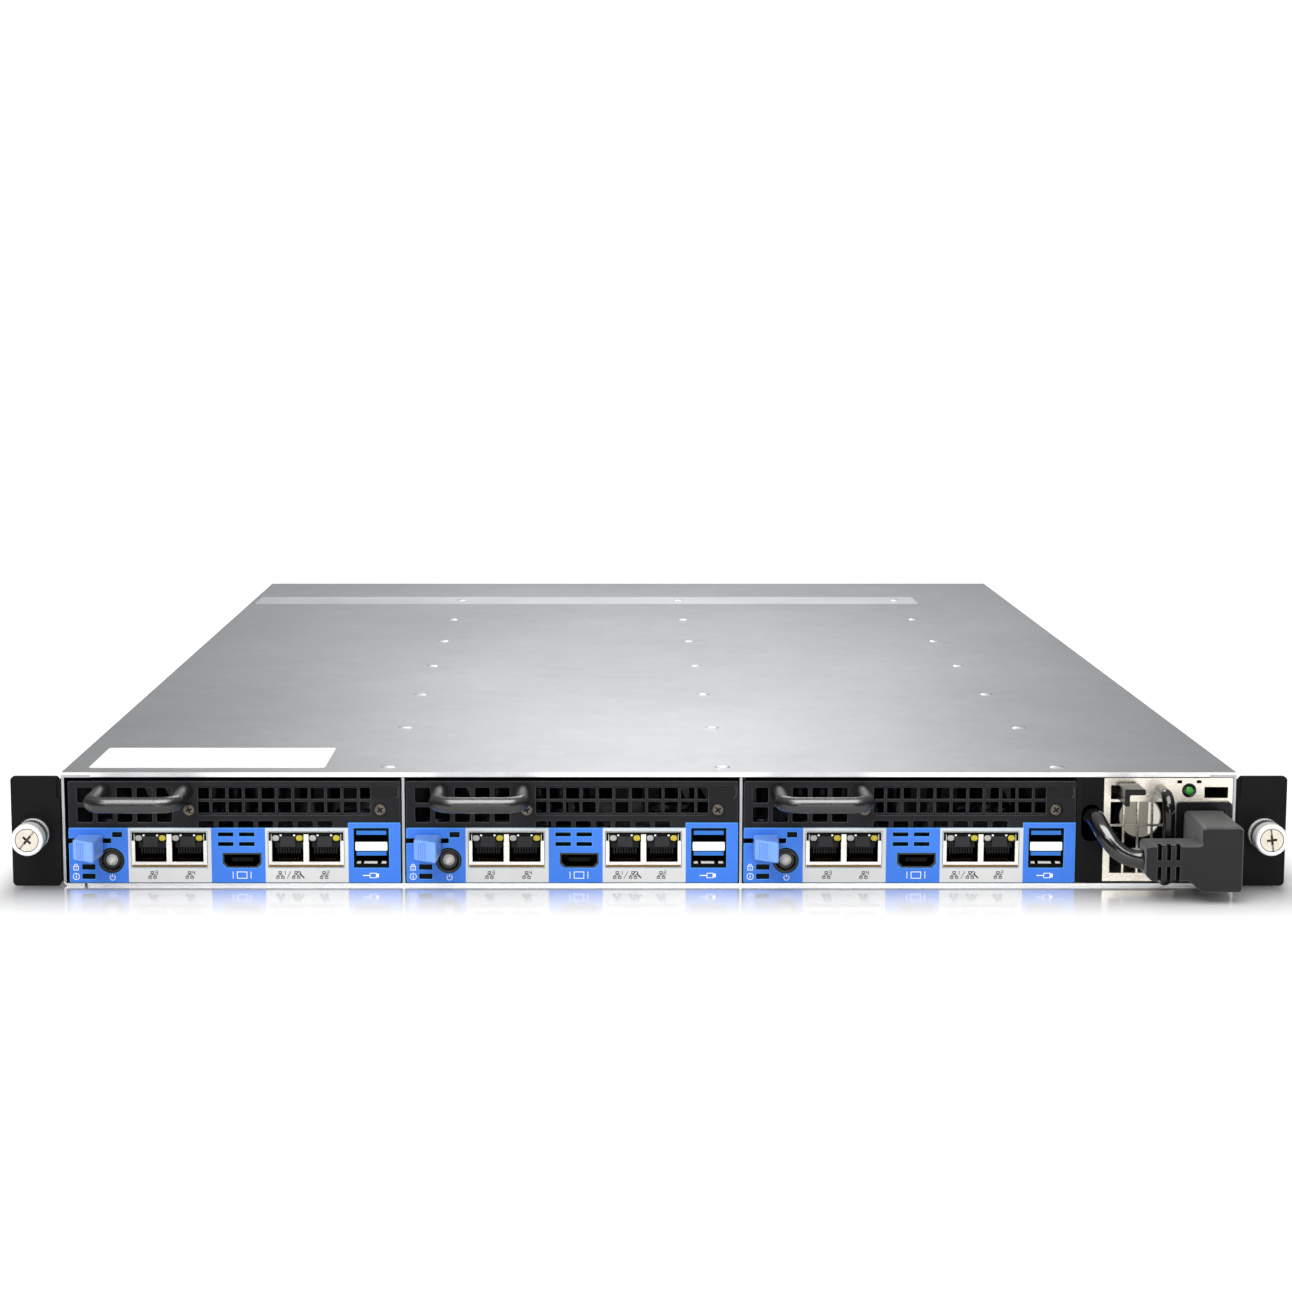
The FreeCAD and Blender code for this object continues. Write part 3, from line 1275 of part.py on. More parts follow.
def build_rear_panel():
    """Rear panel with square vents behind the fans and the inlet opening."""
    plate = block((INNER_LEFT, INNER_RIGHT), (REAR_FACE, CHASSIS_END), (FLOOR_TOP, RETURN_TOP))
    through = (REAR_FACE - RUN, CHASSIS_END + RUN)
    count = int((FAN_SIZE - FAN_WALL) / VENT_PITCH)
    offset = (count - 1) * VENT_PITCH / 2
    half = VENT_HOLE / 2
    cuts = []
    for x in fan_centres():
        for row in range(count):
            for col in range(count):
                cx = x - offset + col * VENT_PITCH
                cz = FAN_Z - offset + row * VENT_PITCH
                cuts.append(block((cx - half, cx + half), through, (cz - half, cz + half)))
    cuts.append(to_rear(inlet_hole((-RUN, SHEET + RUN))))
    return [plate.cut(cuts)]


# Power supply pieces

def psu_x(inset):
    """Place at an inset from the left side of the power supply."""
    return PSU_LEFT + inset


def psu_latch_z():
    """Height span of the slot for the power supply's latch."""
    top = PSU_TOP - PSU_SLOT_TOP
    return (top - PSU_SLOT_HEIGHT, top)


def build_psu_case():
    """Folded case with grille, latch slot, lamp hole and inlet opening."""
    outer = block((PSU_LEFT, PSU_RIGHT), (FRONT, FRONT + PSU_DEPTH), (PSU_BOTTOM, PSU_TOP))
    wall = PSU_WALL
    inner_x = (PSU_LEFT + wall, PSU_RIGHT - wall)
    inner_z = (PSU_BOTTOM + wall, PSU_TOP - wall)
    inner = block(inner_x, (FRONT + wall, FRONT + PSU_DEPTH - wall), inner_z)
    through = (FRONT - RUN, FRONT + wall + RUN)
    cuts = [inner]
    foot_left = psu_x(PSU_ROD_IN) - PSU_ROD
    foot_right = psu_x(PSU_ROD_IN) + PSU_ROD
    foot_top = psu_rod_heights()[1] + PSU_ROD + GRILLE_BAR
    for row in range(GRILLE_ROWS):
        low = PSU_BOTTOM + GRILLE_BOTTOM + row * GRILLE_ROW_PITCH
        for col in range(GRILLE_COLS):
            left = psu_x(GRILLE_LEFT) + col * GRILLE_PITCH
            right = left + GRILLE_PITCH - GRILLE_BAR
            beside = right < foot_left or left > foot_right
            start = low if beside else max(low, foot_top)
            cuts.append(block((left, right), through, (start, low + GRILLE_ROW_PITCH - GRILLE_BAR)))
    slot_z = psu_latch_z()
    cuts.append(block((psu_x(PSU_SLOT_LEFT), psu_x(PSU_SLOT_LEFT + PSU_SLOT_WIDTH)), through, slot_z))
    lamp_x = PSU_RIGHT - PSU_LAMP_RIGHT
    cuts.append(rod(lamp_x, PSU_TOP - PSU_LAMP_TOP, PSU_LAMP_RADIUS, through))
    notch_z = (PSU_TOP - PSU_NOTCH_TOP - PSU_NOTCH_HEIGHT / 2, PSU_TOP - PSU_NOTCH_TOP + PSU_NOTCH_HEIGHT / 2)
    for side in (-1, 1):
        left = lamp_x + side * PSU_NOTCH_SPREAD / 2 - PSU_NOTCH_WIDTH / 2
        cuts.append(block((left, left + PSU_NOTCH_WIDTH), through, notch_z))
    port_top = PSU_TOP - PSU_PORT_TOP
    port_right = PSU_RIGHT - PSU_PORT_RIGHT
    port_x = (port_right - PSU_PORT_WIDTH, port_right)
    cuts.append(block(port_x, through, (port_top - PSU_PORT_HEIGHT, port_top)))
    opening = inlet_hole((-RUN, wall + RUN))
    opening.translate(V(INLET_X, FRONT, INLET_Z))
    cuts.append(opening)
    for z in psu_rod_heights():
        cuts.append(rod(psu_x(PSU_ROD_IN), z, PSU_STUD + FIT, through))
    hook_y = FRONT + PSU_LATCH_PIVOT / 2
    hook_room = (hook_y - PSU_LATCH_EYE - LOOSE, hook_y + PSU_LATCH_EYE + LOOSE)
    cuts.append(block((PSU_LEFT - RUN, PSU_LEFT + wall + RUN), hook_room, slot_z))
    link_x = (PSU_LEFT + PSU_WIDTH / 4 - LOOSE, PSU_RIGHT - PSU_WIDTH / 4 + LOOSE)
    link_y = (FRONT + PSU_DEPTH - wall - RUN, FRONT + PSU_DEPTH + RUN)
    cuts.append(block(link_x, link_y, (BOARD_TOP - LOOSE, BOARD_TOP + LINK_HEIGHT + LOOSE)))
    case = outer.cut(cuts)
    pin_x = psu_x(PSU_LATCH_IN + PSU_LATCH_LEAF / 2)
    pin = post(pin_x, FRONT + PSU_LATCH_PIVOT, PSU_LATCH_PIN, (slot_z[0] - LOOSE, PSU_TOP - wall / 2))
    return [case.fuse(pin).removeSplitter()]


def psu_rod_heights():
    """Heights of the two ends of the power supply's handle."""
    return (PSU_TOP - PSU_ROD_TOP, PSU_BOTTOM + PSU_ROD_BOTTOM)


def build_psu_handle():
    """Upright bent rod handle of the power supply."""
    x = psu_x(PSU_ROD_IN)
    high, low = psu_rod_heights()
    tip = FRONT - PSU_ROD_REACH
    points = [V(x, FRONT, high), V(x, tip, high), V(x, tip, low), V(x, FRONT, low)]
    bar = tube(points, [PSU_ROD_BEND, PSU_ROD_BEND], PSU_ROD)
    stud_y = (FRONT - STUD_LENGTH, FRONT + PSU_WALL + STUD_LENGTH / 2)
    studs = [rod(x, z, PSU_STUD, stud_y) for z in (high, low)]
    return [bar.fuse(studs).removeSplitter()]


def build_psu_latch():
    """Release leaf with its hook, its eye and its finger tab."""
    slot_z = psu_latch_z()
    z = (slot_z[0] + LOOSE, slot_z[1] - LOOSE)
    left = psu_x(PSU_LATCH_IN)
    right = left + PSU_LATCH_LEAF
    pivot_y = FRONT + PSU_LATCH_PIVOT
    pin_x = (left + right) / 2
    tab_back = FRONT - PSU_TAB_GAP
    leaf = block((left, right), (tab_back - PSU_TAB_GAP, pivot_y - PSU_LATCH_EYE / 2), z)
    eye = post(pin_x, pivot_y, PSU_LATCH_EYE, z)
    hook_y = FRONT + PSU_LATCH_PIVOT / 2
    hook_points = [
        (right, hook_y - PSU_LATCH_EYE),
        (PSU_LEFT - FIT, hook_y - PSU_LATCH_EYE),
        (PSU_LEFT - FIT, hook_y),
        (left, hook_y + PSU_LATCH_EYE),
        (right, hook_y + PSU_LATCH_EYE),
    ]
    tab_top = PSU_TOP - PSU_TAB_TOP
    tab_left = left - PSU_LATCH_LEAF / 2
    tab_y = (tab_back - PSU_TAB_REACH + PSU_TAB_GAP, tab_back)
    upright = block((tab_left, tab_left + PSU_TAB_UPRIGHT), tab_y, (tab_top - PSU_TAB_HEIGHT, tab_top))
    bar = block((tab_left, tab_left + PSU_TAB_BAR), tab_y, (tab_top - PSU_TAB_THICK, tab_top))
    tab = union([upright, bar])
    corners = [e for e in tab.Edges if e.BoundBox.YLength > PSU_TAB_GAP]
    tab = tab.makeFillet(PSU_TAB_EDGE, corners)
    latch = union([leaf, eye, prism_z(hook_points, z), tab])
    return [latch.cut(post(pin_x, pivot_y, PSU_LATCH_PIN + PSU_LATCH_GAP, (z[0] - RUN, z[1] + RUN)))]


def build_psu_lamp():
    """Status lamp: rim, lens dome and barrel."""
    x = PSU_RIGHT - PSU_LAMP_RIGHT
    z = PSU_TOP - PSU_LAMP_TOP
    rim = FRONT - RUN
    profile = [
        (0, rim - RUN),
        (PSU_LAMP_CROWN, rim - PSU_LAMP_SHOULDER),
        (PSU_LAMP_LENS, rim + PSU_LAMP_GROOVE),
        (PSU_LAMP_RADIUS - FIT - RUN, rim),
        (PSU_LAMP_RADIUS - FIT, rim + RUN),
        (PSU_LAMP_RADIUS - FIT, FRONT + PSU_WALL + STUD_LENGTH),
        (0, FRONT + PSU_WALL + STUD_LENGTH),
    ]
    return [ring_profile(profile, x, z)]


def build_psu_inlet():
    """Mains inlet in the front of the power supply."""
    solid = inlet()
    solid.translate(V(INLET_X, FRONT, INLET_Z))
    return [solid]


def psu_fan_place():
    """Middle, size and front of the power supply's fan."""
    size = PSU_HEIGHT - 2 * PSU_WALL - 2 * FIT
    x = PSU_LEFT + PSU_WALL + FIT + size / 2
    z = PSU_BOTTOM + PSU_HEIGHT / 2
    return x, z, size, FRONT + PSU_FAN_BACK, FAN_DEPTH


# Right-angle plug and mains lead

def arm_middle():
    """Middle of the plug's arm in Y and Z, and its left end."""
    y = FRONT - PLUG_REACH + ARM_DEPTH / 2
    return INLET_X - PLUG_WIDTH / 2 - ARM_REACH, y, INLET_Z - ARM_DROP


def build_power_plug():
    """Moulded right-angle plug with slotted strain relief."""
    half_x = PLUG_WIDTH / 2
    half_z = PLUG_HEIGHT / 2
    back = FRONT - INLET_FLANGE - FIT
    front = FRONT - PLUG_REACH
    end, mid_y, mid_z = arm_middle()
    low = mid_z - ARM_HEIGHT / 2
    high = mid_z + ARM_HEIGHT / 2
    root = INLET_X - half_x
    right = INLET_X + half_x
    bottom = INLET_Z - half_z
    top = INLET_Z + half_z
    outline = [
        (end, low + ARM_CORNER),
        (end + ARM_CORNER, low),
        (root - GUSSET, low),
        (root, bottom),
        (right, bottom),
        (right, top),
        (root, top),
        (root, high),
        (end, high),
    ]
    slab = prism_y(outline, (front, front + ARM_DEPTH))
    slab = slab.makeFillet(PLUG_CORNER, [e for e in slab.Edges if e.BoundBox.YLength > ARM_DEPTH / 2])
    slab = slab.makeFillet(PLUG_EDGE, [e for e in slab.Edges if e.BoundBox.YMax < front + FIT])
    grip = rounded_y((root, right), (bottom, top), PLUG_CORNER, (front + ARM_DEPTH / 2, back))
    nose = prism_y(inlet_outline(-PLUG_PLAY), (back - FIT, back + PLUG_NOSE))
    nose = nose.cut(pin_boxes(PIN_PLAY, (back, back + PLUG_NOSE + RUN)))
    nose.translate(V(INLET_X, 0, INLET_Z))
    body = union([slab, grip])
    slots = []
    for slot in range(RELIEF_SLOTS):
        x = end + RELIEF_FIRST + slot * RELIEF_PITCH
        width = (x, x + RELIEF_SLOT)
        cut_y = (front - RUN, front + RELIEF_CUT)
        slots.append(block(width, cut_y, (mid_z + RELIEF_SPINE / 2, high + RUN)))
        slots.append(block(width, cut_y, (low - RUN, mid_z - RELIEF_SPINE / 2)))
    route = cord_points()
    way = (route[-2] - route[-1]).normalize()
    bore = CORD_DIAMETER / 2 + CORD_SEAT_FIT
    slots.append(Part.makeCylinder(bore, 2 * CORD_SEAT, route[-1], way))
    return [union([body.cut(slots), nose])]


def cord_points():
    """Corner points of the mains lead from the rear inlet to the plug."""
    end, mid_y, mid_z = arm_middle()
    bend = end - CORD_X
    half_turn = math.pi / 4 / len(CORD_DROPS)
    reach = bend / math.cos(half_turn)
    points = [V(CORD_X, CORD_START, CORD_HEIGHT), V(CORD_X, FRONT + CORD_LEAVE, CORD_HEIGHT)]
    for corner, share in enumerate(CORD_DROPS):
        turn = (2 * corner + 1) * half_turn
        drop = (mid_z - CORD_HEIGHT) * share
        x = end - reach * math.cos(turn)
        y = mid_y + bend - reach * math.sin(turn)
        points.append(V(x, y, CORD_HEIGHT + drop))
    points.append(V(end + CORD_SEAT, mid_y, mid_z))
    return points


def build_power_cord():
    """Mains lead, straight through the chassis and bent round to the plug."""
    points = cord_points()
    radii = []
    for i in range(1, len(points) - 1):
        radii.append(bend_radius(points[i - 1], points[i], points[i + 1]))
    solid = tube(points, radii, CORD_DIAMETER / 2)
    length = bent_wire(points, radii).Length
    section = math.pi * CORD_DIAMETER ** 2 / 4
    print("lead bend radii", [round(r, 1) for r in radii], "diameter", CORD_DIAMETER)
    print("lead length", round(length, 1), "volume share", round(solid.Volume / (section * length), 4))
    for point in points:
        print("lead point", round(point.x, 2), round(point.y, 2), round(point.z, 2))
    return [solid]


SLED_BUILDERS = {
    "tray": build_tray,
    "face_plate": build_face_plate,
    "io_plate": build_io_plate,
    "slot_cover": build_slot_cover,
    "handle": build_handle,
    "latch": build_latch,
    "power_button": build_button,
    "network_jacks": build_network_jacks,
    "video_usb_jacks": build_video_usb_jacks,
    "mainboard": build_mainboard,
    "board_parts": build_board_parts,
}

SINGLE_BUILDERS = {
    "chassis_base": build_chassis_base,
    "rear_panel": build_rear_panel,
    "top_cover": build_top_cover,
    "cover_rivets": build_cover_rivets,
    "bay_dividers": build_bay_dividers,
    "rack_ears": build_rack_ears,
    "filler_strip": build_filler_strip,
    "midplane": build_midplane,
    "psu_case": build_psu_case,
    "psu_handle": build_psu_handle,
    "psu_latch": build_psu_latch,
    "psu_status_lamp": build_psu_lamp,
    "psu_inlet": build_psu_inlet,
    "power_plug": build_power_plug,
    "power_cord": build_power_cord,
}


def main():
    """Build every node and write it."""
    os.makedirs("parts", exist_ok=True)
    for name, builder in SINGLE_BUILDERS.items():
        save(name, builder())
    for name, builder in SLED_BUILDERS.items():
        shapes = builder()
        for bay in range(BAY_COUNT):
            moved = []
            for shape in shapes:
                copy = shape.copy()
                copy.translate(V(face_left(bay), 0, 0))
                moved.append(copy)
            save("sled_" + str(bay + 1) + "_" + name, moved)
    save("thumbscrew_left", build_thumbscrew(-1))
    save("thumbscrew_right", build_thumbscrew(1))
    save("rear_inlet", [to_rear(inlet())])
    frames = []
    rotor = fan_rotor(0, FAN_Z, FAN_SIZE, FAN_FRONT, FAN_DEPTH)
    for index, x in enumerate(fan_centres()):
        frames.append(fan_frame(x, FAN_Z, FAN_SIZE, FAN_FRONT, FAN_DEPTH))
        copy = rotor.copy()
        copy.translate(V(x, 0, 0))
        save("fan_rotor_" + str(index + 1), [copy])
    save("fan_frames", frames)
    save("psu_fan_frame", [fan_frame(*psu_fan_place())])
    save("psu_fan_rotor", [fan_rotor(*psu_fan_place())])
    print("chassis", round(CHASSIS_WIDTH, 2), round(CHASSIS_DEPTH, 2), round(CHASSIS_HEIGHT, 2))


main()
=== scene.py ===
"""Look of a one-unit server with three pull-out sleds, a power supply and its mains lead.

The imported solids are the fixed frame. Each class below dresses one sub-assembly of them and adds the
small pieces that the solids leave out. Lengths are in millimetres in the part's own frame, and Shape
turns them into metres. The studio's own lengths are in metres.
"""

import logging
import math
from dataclasses import dataclass
from enum import Enum
from functools import cache
from typing import Callable, Iterator, Sequence

import bmesh
import bpy
from mathutils import Euler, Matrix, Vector


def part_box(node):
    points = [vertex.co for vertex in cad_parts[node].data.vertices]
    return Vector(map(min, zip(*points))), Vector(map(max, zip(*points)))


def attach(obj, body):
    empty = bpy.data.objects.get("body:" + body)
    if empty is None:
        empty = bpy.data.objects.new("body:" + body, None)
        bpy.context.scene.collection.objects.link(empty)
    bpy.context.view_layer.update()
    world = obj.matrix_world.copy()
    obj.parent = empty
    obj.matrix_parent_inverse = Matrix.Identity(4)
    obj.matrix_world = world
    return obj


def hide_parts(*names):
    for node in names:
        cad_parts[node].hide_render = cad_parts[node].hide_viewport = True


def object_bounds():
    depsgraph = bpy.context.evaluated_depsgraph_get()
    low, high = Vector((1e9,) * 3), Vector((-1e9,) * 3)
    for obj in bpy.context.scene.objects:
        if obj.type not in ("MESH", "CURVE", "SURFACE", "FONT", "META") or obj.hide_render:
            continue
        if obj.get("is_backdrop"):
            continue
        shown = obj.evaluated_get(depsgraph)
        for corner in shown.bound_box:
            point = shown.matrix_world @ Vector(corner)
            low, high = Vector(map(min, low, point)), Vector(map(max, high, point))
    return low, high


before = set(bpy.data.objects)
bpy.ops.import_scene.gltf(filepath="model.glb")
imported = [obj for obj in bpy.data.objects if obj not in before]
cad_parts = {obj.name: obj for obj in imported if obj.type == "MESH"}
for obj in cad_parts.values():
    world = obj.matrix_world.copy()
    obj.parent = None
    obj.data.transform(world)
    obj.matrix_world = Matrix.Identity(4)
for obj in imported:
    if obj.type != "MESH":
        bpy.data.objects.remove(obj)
CAD_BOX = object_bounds()

log = logging.getLogger("server")

MM = 0.001

Colour = tuple[float, float, float, float]
Flat = tuple[float, float]
Point = tuple[float, float, float]
Ring = list[Point]
Rule = Callable[[Vector, Vector], bool]

# Octaves of noise in a surface's grain and in its clouding.
GRAIN_DETAIL = 3.0
CLOUD_DETAIL = 4.0

# Cosine of a rounded edge's turn, from the full painted edge highlight to none, and the samples that find
# it.
EDGE_FADE: Flat = (0.86, 0.985)
EDGE_SAMPLES = 4

# Angles in degrees from which a mesh edge stays sharp, and from which it is rounded off.
SHARP_FROM = 35.0
ROUND_FROM = 40.0
ROUND_STEPS = 2

# Largest turn in degrees of one straight bit of a drawn arc.
ARC_STEP = 18

# Head and cross recess of a screw, in shares of its radius and height.
SCREW_HEAD: tuple[Flat, ...] = ((1.0, 0.0), (1.0, 0.35), (0.9, 0.8), (0.72, 1.0))
SCREW_ARM = 0.56
SCREW_CUT = 0.13
SCREW_TAPER = 0.7
SCREW_FLOOR = 0.15
SCREW_STEPS = 48
NO_ZERO = 1e-6


def paint(code: str) -> Colour:
    """Turn a display colour into the linear colour that a shader takes.

    Args:
        code: six hexadecimal digits, red, green and blue.

    Returns:
        Linear red, green, blue and a full alpha.
    """
    parts = [int(code[i:i + 2], 16) / 255 for i in (0, 2, 4)]
    linear = [c / 12.92 if c <= 0.04045 else ((c + 0.055) / 1.055) ** 2.4 for c in parts]
    return (linear[0], linear[1], linear[2], 1.0)


def scaled(colour: Colour, share: float) -> Colour:
    """Lighten or darken a colour by a share."""
    return (min(colour[0] * share, 1.0), min(colour[1] * share, 1.0), min(colour[2] * share, 1.0), 1.0)


class NodeBook:
    """Short way to write down the nodes of a tree."""

    def __init__(self, tree: bpy.types.NodeTree) -> None:
        """Start with an empty tree."""
        self.tree = tree
        self.tree.nodes.clear()

    def add(self, kind: str, inputs: dict | None = None, **options: object) -> bpy.types.Node:
        """Add a node.

        Args:
            kind: Blender's name of the node type.
            inputs: values or linked sockets, by socket name or number.
            options: settings of the node itself.

        Returns:
            The new node.
        """
        node = self.tree.nodes.new(kind)
        for option, value in options.items():
            setattr(node, option, value)
        self.fill(node, inputs or {})
        return node

    def fill(self, node: bpy.types.Node, inputs: dict) -> None:
        """Set or link the sockets of a node.

        Args:
            node: the node that takes them.
            inputs: values or linked sockets, by socket name or number.
        """
        for socket, value in inputs.items():
            if isinstance(value, bpy.types.NodeSocket):
                self.tree.links.new(value, node.inputs[socket])
            else:
                node.inputs[socket].default_value = value

    def span(self, value: bpy.types.NodeSocket, low: float, high: float, start: float = 0.3,
             stop: float = 0.7) -> bpy.types.NodeSocket:
        """Map a value from start..stop to low..high."""
        inputs = {"Value": value, "From Min": start, "From Max": stop, "To Min": low, "To Max": high}
        return self.add("ShaderNodeMapRange", inputs).outputs[0]

    def sum(self, kind: str, first: object, second: object) -> bpy.types.NodeSocket:
        """Join two values by a sum of the given kind."""
        return self.add("ShaderNodeMath", {0: first, 1: second}, operation=kind).outputs[0]

    def mix(self, share: object, first: object, second: object, kind: str = "MIX") -> bpy.types.NodeSocket:
        """Mix two colours by a share."""
        node = self.add("ShaderNodeMix", {0: share, 6: first, 7: second}, data_type="RGBA", blend_type=kind)
        return node.outputs[2]


class MaterialBook(NodeBook):
    """The nodes of one material, with its shader, its output and the place on the part."""

    def __init__(self, name: str) -> None:
        """Start a material with its shader and output.

        Args:
            name: the material's name.
        """
        self.material = bpy.data.materials.new(name)
        self.material.use_nodes = True
        super().__init__(self.material.node_tree)
        self.shader = self.add("ShaderNodeBsdfPrincipled")
        self.end = self.add("ShaderNodeOutputMaterial", {"Surface": self.shader.outputs[0]})
        self.place = self.add("ShaderNodeTexCoord").outputs["Object"]

    def set(self, inputs: dict) -> None:
        """Set or link sockets of the shader itself."""
        self.fill(self.shader, inputs)

    def noise(self, size: float, detail: float = 2.0,
              stretch: Point = (1.0, 1.0, 1.0)) -> bpy.types.NodeSocket:
        """Noise whose grains are size millimetres across.

        Args:
            size: width of a grain in millimetres.
            detail: octaves of finer grain.
            stretch: share of the frequency along X, Y and Z.

        Returns:
            The noise's value socket.
        """
        place = self.place
        if stretch != (1.0, 1.0, 1.0):
            place = self.add("ShaderNodeMapping", {"Vector": self.place, "Scale": stretch}).outputs[0]
        inputs = {"Vector": place, "Scale": 1 / (size * MM), "Detail": detail}
        return self.add("ShaderNodeTexNoise", inputs).outputs[0]

    def axis(self, letter: str) -> bpy.types.NodeSocket:
        """One coordinate of the place on the part, in metres."""
        return self.add("ShaderNodeSeparateXYZ", {0: self.place}).outputs[letter]


@dataclass(frozen=True)
class Finish:
    """A surface: its colour and gloss, the clouding and grain that break them up, and a painted highlight
    on its rounded edges.
    """

    name: str
    colour: Colour
    roughness: float = 0.45
    metallic: float = 0.0
    specular: float = 0.5
    coat: float = 0.0
    coat_roughness: float = 0.08
    sheen: float = 0.0
    cloud: float = 0.08
    cloud_size: float = 30.0
    grain_size: float = 0.5
    relief: float = 0.06
    gloss_drift: float = 0.08
    soft_edge: float = 0.0
    # Share by which the colour is lightened on rounded edges: a painted highlight.
    edge_highlight_share: float = 1.0
    stretch: Point = (1.0, 1.0, 1.0)

    @cache
    def material(self) -> bpy.types.Material:
        """Make the material once, and give the same one after that.

        Returns:
            The material.
        """
        book = MaterialBook(self.name)
        self.write(book)
        return book.material

    def write(self, book: MaterialBook) -> None:
        """Write the finish's nodes.

        Args:
            book: the material's nodes.
        """
        grain = book.noise(self.grain_size, GRAIN_DETAIL, self.stretch)
        colour = self.clouded(book, self.tint(book))
        drift = self.gloss_drift
        inputs = {
            "Metallic": self.metallic,
            "Roughness": book.span(grain, self.roughness - drift, self.roughness + drift),
            "Specular IOR Level": self.specular,
            "Coat Weight": self.coat,
            "Coat Roughness": self.coat_roughness,
            "Sheen Weight": self.sheen,
        }
        bump = {"Height": grain, "Strength": self.relief, "Distance": self.grain_size * MM}
        if self.soft_edge:
            radius = {"Radius": self.soft_edge * MM}
            bevel_normal = book.add("ShaderNodeBevel", radius, samples=EDGE_SAMPLES).outputs[0]
            bump["Normal"] = bevel_normal
            flat = book.add("ShaderNodeNewGeometry").outputs["Normal"]
            facing = book.add("ShaderNodeVectorMath", {0: bevel_normal, 1: flat}, operation="DOT_PRODUCT")
            edge = book.span(facing.outputs["Value"], 1.0, 0.0, *EDGE_FADE)
            # Lighter colour on the rounded edges: a painted edge highlight.
            colour = book.mix(edge, colour, scaled(self.colour, self.edge_highlight_share))
        inputs["Base Color"] = colour
        inputs["Normal"] = book.add("ShaderNodeBump", bump).outputs[0]
        book.set(inputs)

    def tint(self, book: MaterialBook) -> object:
        """The finish's own colour, before clouding."""
        return self.colour

    def clouded(self, book: MaterialBook, colour: object) -> bpy.types.NodeSocket:
        """Drift a colour slowly over the surface.

        Args:
            book: the material's nodes.
            colour: the colour, or the socket that gives it.

        Returns:
            The socket of the drifting colour.
        """
        drift = book.noise(self.cloud_size, CLOUD_DETAIL)
        light = (1.0 + self.cloud,) * 3 + (1.0,)
        dark = (1.0 - self.cloud,) * 3 + (1.0,)
        shade = book.mix(book.span(drift, 0.0, 1.0), dark, light)
        return book.mix(1.0, colour, shade, "MULTIPLY")


@dataclass(frozen=True)
class ZincSheet(Finish):
    """Galvanised sheet: faint crystals over a fine rolled grain."""

    crystal: float = 9.0
    crystal_tone: float = 0.05
    bend: float = 0.004
    bend_scale: float = 300.0
    speck: float = 0.35
    speck_band: Flat = (0.42, 0.62)

    def tint(self, book: MaterialBook) -> bpy.types.NodeSocket:
        """Each crystal a little lighter or darker than the next.

        Args:
            book: the material's nodes.

        Returns:
            The socket of the sheet's colour.
        """
        waves = book.add("ShaderNodeTexNoise", {"Vector": book.place, "Scale": self.bend_scale})
        bent = book.mix(self.bend, book.place, waves.outputs[1], "ADD")
        cells = book.add("ShaderNodeTexVoronoi", {"Vector": bent, "Scale": 1 / (self.crystal * MM)})
        value = book.add("ShaderNodeSeparateColor", {0: cells.outputs["Color"]}).outputs[0]
        dark = scaled(self.colour, 1 - self.crystal_tone)
        light = scaled(self.colour, 1 + self.crystal_tone)
        speck = book.span(book.noise(self.speck, 1.0), 0.0, 1.0, *self.speck_band)
        plain = book.mix(book.span(value, 0.0, 1.0, 0.0, 1.0), dark, light)
        return book.mix(speck, plain, scaled(self.colour, 1 + 2 * self.crystal_tone))


@dataclass(frozen=True)
class BlockPaint(Finish):
    """Port panel paint: coloured blocks from left to right, alike on every sled."""

    other: Colour = (0.6, 0.6, 0.6, 1.0)
    first: float = -219.6
    pitch: float = 127.8
    borders: tuple[float, ...] = (22.0, 53.9, 73.9, 105.8)

    def tint(self, book: MaterialBook) -> bpy.types.NodeSocket:
        """Pick the block's colour from the place across the sled.

        Args:
            book: the material's nodes.

        Returns:
            The socket of the block's colour.
        """
        across = book.sum("SUBTRACT", book.axis("X"), self.first * MM)
        within = book.sum("FLOORED_MODULO", across, self.pitch * MM)
        share = book.sum("DIVIDE", within, self.pitch * MM)
        ramp = book.add("ShaderNodeValToRGB", {0: share})
        ramp.color_ramp.interpolation = "CONSTANT"
        ramp.color_ramp.elements[0].color = self.colour
        ramp.color_ramp.elements[1].color = self.other
        ramp.color_ramp.elements[1].position = self.borders[0] / self.pitch
        for number, border in enumerate(self.borders[1:], 1):
            stop = ramp.color_ramp.elements.new(border / self.pitch)
            stop.color = self.colour if number % 2 else self.other
        return ramp.outputs[0]


@dataclass(frozen=True)
class Lens(Finish):
    """Moulded clear or coloured lens that lets some light through."""

    clear: float = 0.6
    index: float = 1.49

    def write(self, book: MaterialBook) -> None:
        """Add the light that passes through to the plain finish."""
        super().write(book)
        book.set({"Transmission Weight": self.clear, "IOR": self.index})


@dataclass(frozen=True)
class Glow(Finish):
    """Softly lit moulding, such as a thin tab that light shines through."""

    depth: float = 2.0
    share: float = 0.35

    def write(self, book: MaterialBook) -> None:
        """Add light spread under the surface to the plain finish."""
        super().write(book)
        book.set({"Subsurface Weight": self.share, "Subsurface Scale": self.depth * MM})


